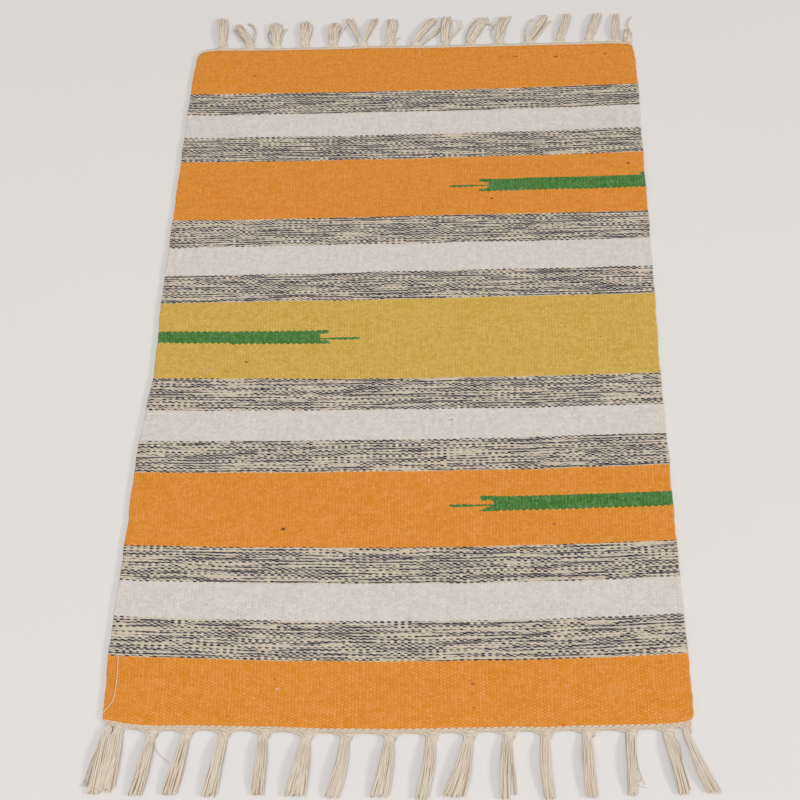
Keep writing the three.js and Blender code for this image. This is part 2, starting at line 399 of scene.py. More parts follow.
class Graph:
    """A node tree under construction."""

    def __init__(self, tree):
        self.tree = tree

    def node(self, kind, settings=None, sockets=None, output=0):
        """Adds a node, sets its settings and then its sockets, and gives one of its outputs."""
        made = self.tree.nodes.new(kind)
        for name, value in (settings or {}).items():
            setattr(made, name, value)
        for key, value in (sockets or {}).items():
            target = socket_of(made.inputs, key)
            if isinstance(value, Wire):
                self.tree.links.new(value.socket, target)
            else:
                target.default_value = value
        return Wire(self, made, output) if len(made.outputs) else made

    def math(self, operation, *values):
        return self.node("ShaderNodeMath", {"operation": operation}, dict(enumerate(values)))

    def sin(self, value):
        return self.math("SINE", value)

    def cos(self, value):
        return self.math("COSINE", value)

    def either(self, first, *others):
        """The larger of several masks."""
        for other in others:
            first = self.math("MAXIMUM", first, other)
        return first

    def within(self, value, low, high):
        return self.math("MINIMUM", self.math("MAXIMUM", value, low), high)

    def ease(self, value, low, high):
        """0 at low and 1 at high, with a smooth way between."""
        sockets = {"Value": value, "From Min": low, "From Max": high}
        return self.node("ShaderNodeMapRange", {"interpolation_type": "SMOOTHSTEP"}, sockets)

    def point(self, x, y, z=0.0):
        return self.node("ShaderNodeCombineXYZ", None, {0: x, 1: y, 2: z})

    def parts(self, vector):
        """A vector's X, Y and Z."""
        split = self.node("ShaderNodeSeparateXYZ", None, {0: vector})
        return [split.out(name) for name in ("X", "Y", "Z")]

    def channels(self, colour):
        """A colour's red, green and blue."""
        split = self.node("ShaderNodeSeparateColor", None, {0: colour})
        return [split.out(name) for name in ("Red", "Green", "Blue")]

    def noise(self, place, scale=1.0, detail=2.0, roughness=0.5, dimensions="3D"):
        settings = {"noise_dimensions": dimensions}
        sockets = {"Vector": place, "Scale": scale, "Detail": detail, "Roughness": roughness}
        return self.node("ShaderNodeTexNoise", settings, sockets)

    def noise_2d(self, x, y, detail=2.0, roughness=0.5):
        return self.noise(self.point(x, y), 1.0, detail, roughness, "2D")

    def chance(self, x, y):
        """A random share for each place."""
        settings = {"noise_dimensions": "2D"}
        return self.node("ShaderNodeTexWhiteNoise", settings, {"Vector": self.point(x, y)})

    def steps(self, value, colours):
        """The colour at a value from 0 to 1, from a list that divides that range into even steps."""
        made = self.node("ShaderNodeValToRGB", None, {0: value})
        ramp = made.node.color_ramp
        ramp.interpolation = "CONSTANT"
        while len(ramp.elements) > 1:
            ramp.elements.remove(ramp.elements[-1])
        ramp.elements[0].position = 0.0
        ramp.elements[0].color = colours[0]
        for number, colour in enumerate(colours[1:], 1):
            ramp.elements.new(number / len(colours)).color = colour
        return made

    def mix(self, share, first, second, blend="MIX"):
        """Mixes two colours."""
        settings = {"data_type": "RGBA", "blend_type": blend}
        sockets = {"Factor_Float": share, "A_Color": first, "B_Color": second}
        return self.node("ShaderNodeMix", settings, sockets, "Result_Color")

    def scaled(self, colour, factor):
        """A colour made lighter or darker by a factor."""
        return self.node("ShaderNodeVectorMath", {"operation": "SCALE"}, {0: colour, "Scale": factor})

    def vectors(self, operation, first, second):
        return self.node("ShaderNodeVectorMath", {"operation": operation}, {0: first, 1: second})

    def attribute(self, name, kind="FLOAT"):
        """A mesh's own value at each point."""
        return self.node("GeometryNodeInputNamedAttribute", {"data_type": kind}, {"Name": name})

    def store(self, geometry, name, value, kind="FLOAT"):
        """Keeps a value at each point of a mesh or a curve."""
        settings = {"data_type": kind, "domain": "POINT"}
        sockets = {"Geometry": geometry, "Name": name, "Value": value}
        return self.node("GeometryNodeStoreNamedAttribute", settings, sockets)


def opaque(colour):
    return (*colour[:3], 1.0)


def painted(srgb):
    """An sRGB colour in 0 to 255 as an opaque linear one."""
    return opaque(linear(*srgb))


def squared(value):
    return value * value


def odd(count):
    """1 where a count is odd, and 0 where it is even."""
    return count - 2 * math.floor(count * 0.5)


def new_material(name, roughness):
    """A material with one plain shader, and the graph to paint it."""
    material = bpy.data.materials.new(name)
    material.use_nodes = True
    graph = Graph(material.node_tree)
    material.node_tree.nodes.clear()
    shader = graph.node("ShaderNodeBsdfPrincipled", None, {"Roughness": roughness, "IOR": 1.35})
    graph.node("ShaderNodeOutputMaterial", None, {"Surface": shader})
    return material, graph, shader.node


def connect(graph, shader, colour, height, distance, strength):
    """Feeds the shader its colour, and its bump from a height in shares of a distance."""
    sockets = {"Height": height, "Distance": distance, "Strength": strength}
    bump = graph.node("ShaderNodeBump", None, sockets)
    graph.tree.links.new(colour.socket, shader.inputs["Base Color"])
    graph.tree.links.new(bump.socket, shader.inputs["Normal"])


# Finishes

WEAVE_MAP = "weave"

# How far a float reaches over its neighbours, in ribs, and how far a weft wanders, in picks.
FLOAT_OVERLAP = 0.19
WEFT_WANDER = 1.7

# How much of a band's or a bar's edge steps by whole picks. The rest follows the weft's wandering.
STEPPED = 0.46

# Where a band's edge turns between two picks, and how many picks of natural yarn show at the ends.
BAND_TEETH = 0.3
FIRST_WEFT = 0.25
LAST_WEFT = 0.3

# How uneven each yarn's dye is, which also sets the strength of the painted shade in the grooves and
# between the floats, and how much of the floats' relief it shows.
UNEVEN_DYE_AND_SHADE = {"natural": 0.3, "orange": 1.35, "marl": 0.6, "white": 0.75, "yellow": 1.6, "green": 1.8}
YARN_RELIEF = {"natural": 0.8, "orange": 1.0, "marl": 1.0, "white": 0.8, "yellow": 1.0}

# How much of a yarn's unevenness is pale lint on it and painted sheen, which grey it instead of darkening
# it.
YARN_LINT_AND_SHEEN = {"natural": 0.0, "orange": 0.8, "marl": 0.0, "white": 0.0, "yellow": 0.7}

# How far the dye differs by rib, float, patch of cloth, pick and fibre, and how much painted shade darkens
# the rib's groove.
DRIFT_AND_GROOVE_SHADE = {"rib": 0.19, "float": 0.16, "patch": 0.04, "pick": 0.18, "fibre": 1.08, "groove": 0.24}

# What reddened dye keeps of each channel, the share of lint and painted sheen that shows, and the darkest
# colour.
REDDENED = (1.0, 0.72, 0.42, 1.0)
LINT_AND_SHEEN_SHOWN = 0.20
DARKEST = (0.01, 0.01, 0.01)

# The warp where it shows in a groove, and where it shows between the floats of the marl.
WARP_IN_GROOVE = (226, 204, 186)
WARP_IN_MARL = (232, 222, 208)

# Stray fibres, one to a cell at most: the cell and a fibre in millimetres, the share of cells that
# hold one, where the scatter starts, how far it is stretched along the weft, and how it looks.
STRAY_FIBRES = [
    {"cell": 11.0, "size": 0.8, "chance": 0.07, "start": 0.0, "stretch": 1.0, "strength": 0.32,
     "colour": (226, 196, 178)},
    {"cell": 13.0, "size": 0.62, "chance": 0.16, "start": 31.0, "stretch": 2.4, "strength": 0.34,
     "colour": (120, 86, 70)},
]

# The marl, in picks: how far the navy strands of two picks lean towards each other, how far the
# strands change places, half the width of navy that shows, how far that differs by stretch, by
# float and towards the far end, and its widest. A strand arches and its ends are round. Last come
# the two sides of its soft edge and the strength of the faintest navy.
MARL = {
    "pairing": 0.26,
    "changes": 4.8,
    "half": 0.485,
    "by_stretch": 2.9,
    "by_float": 0.42,
    "to_far_end": 0.16,
    "widest": 0.70,
    "arch": 0.10,
    "rounding": 0.24,
    "edge_out": 0.14,
    "edge_in": 0.16,
    "faintest": 0.77,
}


def pick_at(y_mm):
    """The pick that lies at a place on the centre line."""
    return (y_mm + HALF_LENGTH_MM) / PICK_MM


def pick_edge(y_mm, teeth=0.5):
    """The change of picks nearest to a place. Half way between two, a colour shows its full teeth."""
    return math.floor(pick_at(y_mm)) + teeth


PICKS = pick_at(HALF_LENGTH_MM)


def weave_places(graph):
    """Where a point lies in the weave: its rib and pick, and its place on the float there."""
    u, straight, _ = graph.parts(graph.node("ShaderNodeUVMap", {"uv_map": WEAVE_MAP}))
    wander = graph.noise(graph.point(u * 0.045, straight * 0.03))
    v = straight + (wander - 0.5) * WEFT_WANDER
    groove = round(u)
    u_float = u - FLOAT_OVERLAP * graph.cos(math.pi * (v - groove + 1))
    rib = math.floor(u_float)
    parity = odd(rib)
    pick = 2 * round((v - parity) * 0.5) + parity
    return SimpleNamespace(
        u=u,
        v=v,
        rib=rib,
        pick=pick,
        groove=groove,
        from_groove=abs(u - groove),
        edge=pick * STEPPED + v * (1 - STEPPED),
        across=(u_float - rib) * 2 - 1,
        along=v - pick,
        rough=graph.noise_2d(u * 0.21, straight * 0.5),
    )


def prong_mask(graph, inward, depth, bar_end, prong):
    """One prong of a bar. depth is how far a point lies inside the bar's edge, in picks."""
    reach = (inward - bar_end) / (prong["tip"] - bar_end)
    deep = prong["root"] + (prong["end"] - prong["root"]) * reach
    mask = (depth > -0.3) * (depth < deep) * (inward < prong["tip"]) * (inward > bar_end - 1.0)
    if prong["knob"]:
        from_middle = (inward - (prong["tip"] - prong["knob"])) * 1.6
        from_edge = depth - prong["knob"] * 1.3
        knob = squared(from_middle) + squared(from_edge) < squared(prong["knob"])
        mask = graph.either(mask, knob)
    return mask


def spear_mask(graph, weave, inward, spear):
    """The spear between a bar's prongs: one pick, which thickens before its tip."""
    pick = pick_at(spear["at"])
    thick = graph.ease(inward, spear["thin"], spear["thin"] + 4.0)
    thick = thick * graph.ease(inward, spear["tip"], spear["tip"] - 1.2)
    line = abs(weave.v - pick) < 0.44 + 0.34 * thick
    dash = (abs(weave.pick - pick) < 1.0) * (abs(weave.along) < 0.2 + 0.36 * thick)
    return graph.either(line, dash) * (inward < spear["tip"])


def bar_mask(graph, weave, bar):
    """Where a tapestry bar shows: its block, its two prongs and its spear."""
    inward = weave.u if bar["from_left"] else RIBS - weave.u
    inward = inward + (weave.rough - 0.5) * 1.1
    low_teeth, high_teeth = bar["teeth"]
    above = pick_edge(bar["high"], high_teeth) + (inward < 1.4) * bar["step"] - weave.edge
    below = weave.edge - pick_edge(bar["low"], low_teeth) + (inward > bar["wider_from"])
    block = (below > 0.0) * (above > 0.0) * (inward < bar["bar"])
    upper = prong_mask(graph, inward, above, bar["bar"], bar["upper"])
    lower = prong_mask(graph, inward, below, bar["bar"], bar["lower"])
    return graph.either(block, upper, lower, spear_mask(graph, weave, inward, bar["spear"]))


def weft_bands(graph, weave, colours):
    """The band's colour at a point, and its traits: whether it is marl, its dye, relief, and lint with
    painted sheen.

    Bands are counted in whole picks, which gives their toothed edges.
    """
    kinds = ["natural", *[kind for kind, _ in BANDS_MM], "natural"]
    changes = [pick_edge(end, BAND_TEETH) for _, end in BANDS_MM[:-1]]
    ends = [FIRST_WEFT, *changes, PICKS - LAST_WEFT]
    count = sum((weave.edge > end for end in ends[1:]), weave.edge > ends[0])
    in_order = (count + 0.5) / len(kinds)
    paints = [opaque(colours.beige if kind == "marl" else getattr(colours, kind)) for kind in kinds]
    traits = [
        (float(kind == "marl"), UNEVEN_DYE_AND_SHADE[kind], YARN_RELIEF[kind], YARN_LINT_AND_SHEEN[kind]) for kind in kinds
    ]
    trait = graph.steps(in_order, traits)
    marl, uneven, relief = graph.channels(trait)
    found = SimpleNamespace(marl=marl, uneven=uneven, relief=relief, lint_and_sheen=trait.out("Alpha"))
    return graph.steps(in_order, paints), found


def marl_colour(graph, weave, colours):
    """A navy and a beige strand in each pick, which change places and cover each other.

    Navy strands of neighbouring picks mostly face each other in pairs, which makes dark rows.
    """
    u, pick, across = weave.u, weave.pick, weave.across
    facing = 1 - 2 * odd(pick)
    lie = graph.noise_2d(u * 0.04, pick * 7.31, roughness=0.6)
    place = graph.within(facing * (MARL["pairing"] + (lie - 0.5) * MARL["changes"]), -0.5, 0.5)
    cover = graph.noise_2d(u * 0.055, pick * 3.17 + 40.0)
    draw = graph.chance(weave.rib + 0.3, pick + 0.3)
    half = MARL["half"] + (cover - 0.5) * MARL["by_stretch"] + (draw - 0.5) * MARL["by_float"]
    half = graph.within(half + weave.v * (MARL["to_far_end"] / PICKS), 0.0, MARL["widest"])
    arch = MARL["arch"] * (across - squared(across))
    away = abs(weave.along - place + arch) + MARL["rounding"] * squared(squared(across))
    navy = graph.ease(away, half + MARL["edge_out"], half - MARL["edge_in"])
    navy = navy * (MARL["faintest"] + (1 - MARL["faintest"]) * draw)
    pinker = graph.ease(graph.noise_2d(u * 0.05, pick * 5.23, detail=1.0), 0.36, 0.66) * 0.7
    beige = graph.mix(pinker, opaque(colours.beige), opaque(colours.beige_pink))
    return graph.mix(navy, beige, opaque(colours.navy))


def with_stray_fibres(graph, weave, colour):
    """Scatters the pale nubs and the dark dashes of stray fibre."""
    settings = {"voronoi_dimensions": "2D", "feature": "F1"}
    for kind in STRAY_FIBRES:
        cell = kind["cell"]
        x = weave.u * RIB_MM / (cell * kind["stretch"]) + kind["start"]
        place = graph.point(x, weave.v * PICK_MM / cell)
        cells = graph.node("ShaderNodeTexVoronoi", settings, {"Vector": place, "Scale": 1.0})
        draw, size, _ = graph.channels(cells.out("Color"))
        reach = kind["size"] / cell * (0.6 + size)
        fibres = (draw < kind["chance"]) * graph.ease(cells.out("Distance"), reach, reach * 0.5)
        colour = graph.mix(fibres * kind["strength"], colour, painted(kind["colour"]))
    return colour


def with_slubs(graph, weave, colour):
    """Adds the single coarse places in the yarn."""
    for rib, pick, ribs, picks, srgb in SLUBS:
        reach = squared((weave.u - rib) / ribs) + squared((weave.v - pick) / picks)
        colour = graph.mix(graph.ease(reach, 1.3, 0.4) * 0.8, colour, painted(srgb))
    return colour


def with_bare_warp(graph, weave, colour, bars, marl):
    """Shows the pale warp in a groove here and there, and in the marl between the floats too."""
    groove = graph.ease(weave.from_groove, 0.16, 0.04)
    glint = graph.noise_2d(weave.groove * 5.7, weave.v * 0.12) + 0.05 * bars
    glint = graph.ease(glint, 0.56, 0.70)
    fine = graph.ease(graph.noise_2d(weave.u * 0.9, weave.v * 0.9, detail=1.0), 0.5, 0.62)
    glints = groove * glint * fine * (0.34 + 0.10 * bars)
    colour = graph.mix(glints, colour, painted(WARP_IN_GROOVE))
    dots = groove * graph.ease(abs(weave.along), 0.55, 0.95) * marl * (1.0 - bars)
    return graph.mix(dots * fine * 0.5, colour, painted(WARP_IN_MARL))


def with_uneven_dye_and_painted_shade(graph, weave, colour, uneven, traits, fibre):
    """Makes the dye uneven, from rib to rib, float to float and fibre to fibre, and paints shade in the
    ribs' grooves and where the floats meet.
    """
    u, v = weave.u, weave.v
    by_rib = graph.noise_2d(weave.rib * 3.3, v * 0.05) - 0.5
    by_float = graph.chance(weave.rib, weave.pick) - 0.5
    by_pick = graph.noise_2d(u * 0.10, weave.pick * 2.7 + 5.0) - 0.5
    by_patch = graph.noise_2d(u * 0.12, v * 0.06, detail=3.0) - 0.5
    # Painted shade: the groove between two ribs is darkened, more on some ribs than on others.
    groove = graph.ease(weave.from_groove, 0.36, 0.04) * (0.5 + 1.6 * by_rib) * (0.2 + traits.lint_and_sheen)
    drift_and_groove_shade = by_rib * DRIFT_AND_GROOVE_SHADE["rib"] + by_float * DRIFT_AND_GROOVE_SHADE["float"] + by_patch * DRIFT_AND_GROOVE_SHADE["patch"]
    drift_and_groove_shade = drift_and_groove_shade + by_pick * DRIFT_AND_GROOVE_SHADE["pick"] + (fibre - 0.5) * DRIFT_AND_GROOVE_SHADE["fibre"]
    drift_and_groove_shade = (drift_and_groove_shade - groove * DRIFT_AND_GROOVE_SHADE["groove"]) * uneven
    # Painted shade where one float meets the next, stronger where the dye is more uneven.
    painted_shade_between_floats = graph.ease(abs(weave.along) + 0.25 * squared(weave.across), 0.62, 1.10)
    shade = (1.0 + drift_and_groove_shade * (1.0 - traits.lint_and_sheen)) * (1.0 - painted_shade_between_floats * (0.03 + 0.08 * uneven))
    redder = graph.ease(graph.noise_2d(u * 0.35, v * 0.12 + 9.0), 0.46, 0.68)
    redder = redder * uneven * (1.0 - traits.marl) * 0.05
    colour = graph.mix(redder, colour, graph.mix(1.0, colour, REDDENED, "MULTIPLY"))
    # Lint and painted sheen: where the yarn has them, its unevenness greys it, lighter or darker.
    grey = drift_and_groove_shade * traits.lint_and_sheen * LINT_AND_SHEEN_SHOWN
    colour = graph.vectors("ADD", graph.scaled(colour, shade), graph.point(grey, grey, grey))
    return graph.vectors("MAXIMUM", colour, DARKEST)


def float_height(graph, weave, relief, fibre):
    """Each float is two strands side by side, domed along the weft and round across it."""
    strand = abs(abs(weave.along) - 0.5) * 2
    ridge = graph.math("SQRT", graph.within(1.05 - squared(strand), 0.0, 1.0))
    dome = 1 - squared(weave.across) * 0.38
    gap = 0.45 + 0.55 * graph.ease(abs(weave.along), 1.02, 0.76)
    return dome * (0.70 + 0.30 * ridge) * gap * relief + fibre * 0.22


def woven_cotton(colours, sizes):
    """Weft-faced plain weave: ribs of floats, banded, with marl and tapestry bars."""
    material, graph, shader = new_material("woven cotton", 0.92)
    weave = weave_places(graph)
    band, traits = weft_bands(graph, weave, colours)
    bars = graph.either(*[bar_mask(graph, weave, bar) for bar in BARS])
    uneven = graph.either(traits.uneven, bars * UNEVEN_DYE_AND_SHADE["green"])
    fibre = graph.noise_2d(weave.u * RIB_MM * 0.9, weave.v * PICK_MM * 1.7, roughness=0.7)
    colour = graph.mix(traits.marl, band, marl_colour(graph, weave, colours))
    colour = with_stray_fibres(graph, weave, colour)
    colour = graph.mix(bars, colour, opaque(colours.green))
    colour = with_slubs(graph, weave, colour)
    colour = with_bare_warp(graph, weave, colour, bars, traits.marl)
    colour = with_uneven_dye_and_painted_shade(graph, weave, colour, uneven, traits, fibre)
    height = float_height(graph, weave, traits.relief, fibre)
    connect(graph, shader, colour, height, sizes.float_relief, 0.75)
    return material


# A yarn's own values at each point: where it lies along and round the yarn, and the yarn's tint, which on
# a tassel's lower yarns is painted shade.
YARN_PLACE = "yarn_place"
YARN_TINT = "yarn_tint"

# The length of yarn in which its plies turn once round.
TWIST_LENGTH_MM = 3.4
STRAY_TWIST_MM = 2.0

# Height of a spun yarn's plies and fibres, as bump.
SPUN_RELIEF_MM = 0.07


def spun_yarn(name, light, shade, twist_mm):
    """Undyed two-ply yarn: its twist with painted shade between its plies, its fibres and one tint for
    each yarn.
    """
    material, graph, shader = new_material(name, 0.95)
    place = graph.node("ShaderNodeAttribute", {"attribute_name": YARN_PLACE}, None, "Vector")
    along, x, y = graph.parts(place)
    turn = along * (2 * math.pi / (twist_mm * MM))
    ply = 1 - squared(x * graph.cos(turn) + y * graph.sin(turn))
    tint = graph.node("ShaderNodeAttribute", {"attribute_name": YARN_TINT}, None, "Fac")
    here = graph.node("ShaderNodeTexCoord", None, None, "Object")
    fibre = graph.noise(here, 900.0, roughness=0.7)
    cloud = graph.noise(here, 60.0)
    # Painted shade in the grooves between the plies.
    groove = graph.ease(ply, 0.30, 0.0)
    dark = graph.within(groove * 0.04 + (tint - 0.25) * 1.2 + (cloud - 0.5) * 0.5, 0.0, 1.0)
    colour = graph.mix(dark, opaque(light), opaque(shade))
    colour = graph.scaled(colour, 0.90 + fibre * 0.20)
    connect(graph, shader, colour, ply * 0.6 + fibre * 0.4, SPUN_RELIEF_MM * MM, 0.4)
    return material


def plain_floor(colour):
    """A plain painted floor, with a faint cloudiness."""
    material, graph, shader = new_material("studio floor", 0.7)
    here = graph.node("ShaderNodeTexCoord", None, None, "Object")
    cloud = graph.noise(here, 3.0)
    cloudy = graph.scaled(tuple(colour), 0.99 + cloud * 0.02)
    graph.tree.links.new(cloudy.socket, shader.inputs["Base Color"])
    return material


# Geometry Nodes


def new_tree(name, inputs):
    """A Geometry Nodes tree with named inputs, each with the last word of its socket's type."""
    tree = bpy.data.node_groups.new(name, "GeometryNodeTree")
    tree.interface.new_socket(name="Geometry", in_out="INPUT", socket_type="NodeSocketGeometry")
    for input_name, kind in inputs.items():
        tree.interface.new_socket(name=input_name, in_out="INPUT", socket_type="NodeSocket" + kind)
    tree.interface.new_socket(name="Geometry", in_out="OUTPUT", socket_type="NodeSocketGeometry")
    graph = Graph(tree)
    return tree, graph, graph.node("NodeGroupInput")


def end_tree(graph, geometry, material):
    """Ends a tree with plain geometry in one material."""
    real = graph.node("GeometryNodeRealizeInstances", None, {"Geometry": geometry})
    finished = graph.node("GeometryNodeSetMaterial", None, {"Geometry": real, "Material": material})
    graph.node("NodeGroupOutput", None, {"Geometry": finished})


# The cloth's slow swell: the way over which it turns by one radian, across and along the rug, and
# the angle in the rug's middle.
SWELL_MM = (83, 117)
SWELL_START = 0.6


def rib_tree():
    """Raises the warp ribs, the swell and the unevenness of hand weaving on a flat cloth."""
    inputs = {"Relief": "Float", "Swell": "Float", "Unevenness": "Float", "Material": "Material"}
    tree, graph, given = new_tree("Warp Ribs", inputs)
    place = graph.node("GeometryNodeInputPosition")
    x, y, _ = graph.parts(place)
    profile = abs(graph.sin(graph.attribute("rib") * math.pi)) ** 0.8 - 1
    slow_x, slow_y = [
        graph.sin(side / (length * MM) + SWELL_START) for side, length in zip((x, y), SWELL_MM)
    ]
    rough = graph.noise(place, 26.0) - 0.5
    lift = profile * given.out("Relief") + slow_x * slow_y * given.out("Swell")
    lift = (lift + rough * given.out("Unevenness")) * graph.attribute("crown")
    sockets = {"Geometry": given.out("Geometry"), "Offset": graph.point(0.0, 0.0, lift)}
    raised = graph.node("GeometryNodeSetPosition", None, sockets)
    end_tree(graph, raised, given.out("Material"))
    return tree


def yarn_tree():
    """Spins a round yarn along each line of a wire mesh, and notes where each point lies on it."""
    tree, graph, given = new_tree("Spun Yarn", {"Step": "Float", "Sides": "Int", "Material": "Material"})
    line = graph.node("GeometryNodeMeshToCurve", None, {"Mesh": given.out("Geometry")})
    line = graph.node("GeometryNodeCurveSplineType", {"spline_type": "CATMULL_ROM"}, {"Curve": line})
    sockets = {"Curve": line, "Length": given.out("Step")}
    line = graph.node("GeometryNodeResampleCurve", {"mode": "LENGTH"}, sockets)
    line = graph.node("GeometryNodeSetCurveNormal", {"mode": "Z_UP"}, {"Curve": line})
    gauge = graph.attribute("gauge")
    line = graph.node("GeometryNodeSetCurveRadius", None, {"Curve": line, "Radius": gauge})
    line = graph.store(line, "reach", graph.node("GeometryNodeSplineParameter", None, None, "Length"))
    sockets = {"Resolution": given.out("Sides"), "Radius": 1.0}
    circle = graph.node("GeometryNodeCurvePrimitiveCircle", None, sockets)
    on_circle = graph.node("GeometryNodeInputPosition")
    circle = graph.store(circle, "round_place", on_circle, "FLOAT_VECTOR")
    sockets = {"Curve": line, "Profile Curve": circle, "Scale": gauge, "Fill Caps": True}
    yarn = graph.node("GeometryNodeCurveToMesh", None, sockets)
    x, y, _ = graph.parts(graph.attribute("round_place", "FLOAT_VECTOR"))
    place = graph.point(graph.attribute("reach"), x, y)
    yarn = graph.store(yarn, YARN_PLACE, place, "FLOAT_VECTOR")
    end_tree(graph, yarn, given.out("Material"))
    return tree


def grown(name, wire, tree, values):
    """Runs a Geometry Nodes tree on a mesh and gives the result as a plain object."""
    source = bpy.data.objects.new(name + "_source", wire)
    bpy.context.scene.collection.objects.link(source)
    modifier = source.modifiers.new(tree.name, "NODES")
    modifier.node_group = tree
    for item in tree.interface.items_tree:
        if item.in_out == "INPUT" and item.name in values:
            modifier[item.identifier] = values[item.name]
    evaluated = source.evaluated_get(bpy.context.evaluated_depsgraph_get())
    mesh = bpy.data.meshes.new_from_object(evaluated)
    source.modifiers.remove(modifier)
    bpy.data.objects.remove(source)
    mesh.name = name
    mesh.shade_smooth()
    piece = bpy.data.objects.new(name, mesh)
    bpy.context.scene.collection.objects.link(piece)
    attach(piece, "root")
    return piece


# Woven body


def hermite(y_mm):
    """The section at a place on the centre line, with a smooth way through SECTIONS_MM."""
    ys = np.array([row["y"] for row in SECTIONS_MM], float)
    at = np.clip(np.asarray(y_mm, float), ys[0], ys[-1])
    i = np.clip(np.searchsorted(ys, at, side="right") - 1, 0, len(ys) - 2)
    span = ys[i + 1] - ys[i]
    t = (at - ys[i]) / span
    result = {}
    for name in ("left", "right", "tilt", "bow"):
        values = np.array([row[name] for row in SECTIONS_MM], float)
        slopes = np.gradient(values, ys)
        result[name] = (
            (2 * t**3 - 3 * t**2 + 1) * values[i]
            + (t**3 - 2 * t**2 + t) * span * slopes[i]
            + (3 * t**2 - 2 * t**3) * values[i + 1]
            + (t**3 - t**2) * span * slopes[i + 1]
        )
    return result


def corner_drop(distance, radius):
    """How far a rounded corner draws an end in, at a distance from the selvedge."""
    inside = np.clip(radius - distance, 0, radius)
    return radius - np.sqrt(radius**2 - inside**2)


def end_shift(side, x_mm):
    """How far inwards an end's last weft lies from its even line, at a place across the rug."""
    places, shifts = zip(*END_LINES_MM[side])
    return np.interp(x_mm, places, shifts)


def wander(side, y_mm):
    """How far a selvedge wanders from its even line, at a place along the rug."""
    waves = SELVEDGE_WAVES_MM[side]
    return sum(reach * np.sin(2 * np.pi * y_mm / length + start) for length, reach, start in waves)


def weft_point(across, y_mm):
    """A point on the weft line that crosses the centre line at y_mm, in millimetres."""
    section = hermite(y_mm)
    left = section["left"] + wander("left", y_mm)
    right = section["right"] + wander("right", y_mm)
    x = left + (right - left) * across
    share = x / HALF_WIDTH_MM
    y = y_mm + section["tilt"] * share + section["bow"] * share**2
    for side, inwards in (("near", 1), ("far", -1)):
        reach = np.clip((END_BLEND_MM - HALF_LENGTH_MM - inwards * y_mm) / END_BLEND_MM, 0, 1)
        drop = corner_drop(x - left, CORNER_RADIUS_MM[side + "_left"])
        drop = drop + corner_drop(right - x, CORNER_RADIUS_MM[side + "_right"])
        y = y + inwards * reach * (drop + end_shift(side, x))
    return x, y


def end_walls(tops, sides, below_ribs):
    """The faces that close one end of the cloth, as places on the ring of its cross-section.

    The top's columns go down to the underside's fewer points, a fixed number at a time.
    """
    below_at = {float(rib): tops + sides + place for place, rib in enumerate(below_ribs)}
    marks = sorted(below_at)
    walls = []
    for low, high in zip(marks, marks[1:]):
        first = round((low - 0.5) * COLUMNS_PER_RIB)
        last = round((high - 0.5) * COLUMNS_PER_RIB)
        walls.append([below_at[low], below_at[high], *range(last, first - 1, -1)])
    foot = tops + sides
    left_foot = foot + len(below_ribs) - 1
    walls.append(list(range(foot, tops - 2, -1)))
    walls.append([0, *range(left_foot + sides, left_foot - 1, -1)])
    return walls


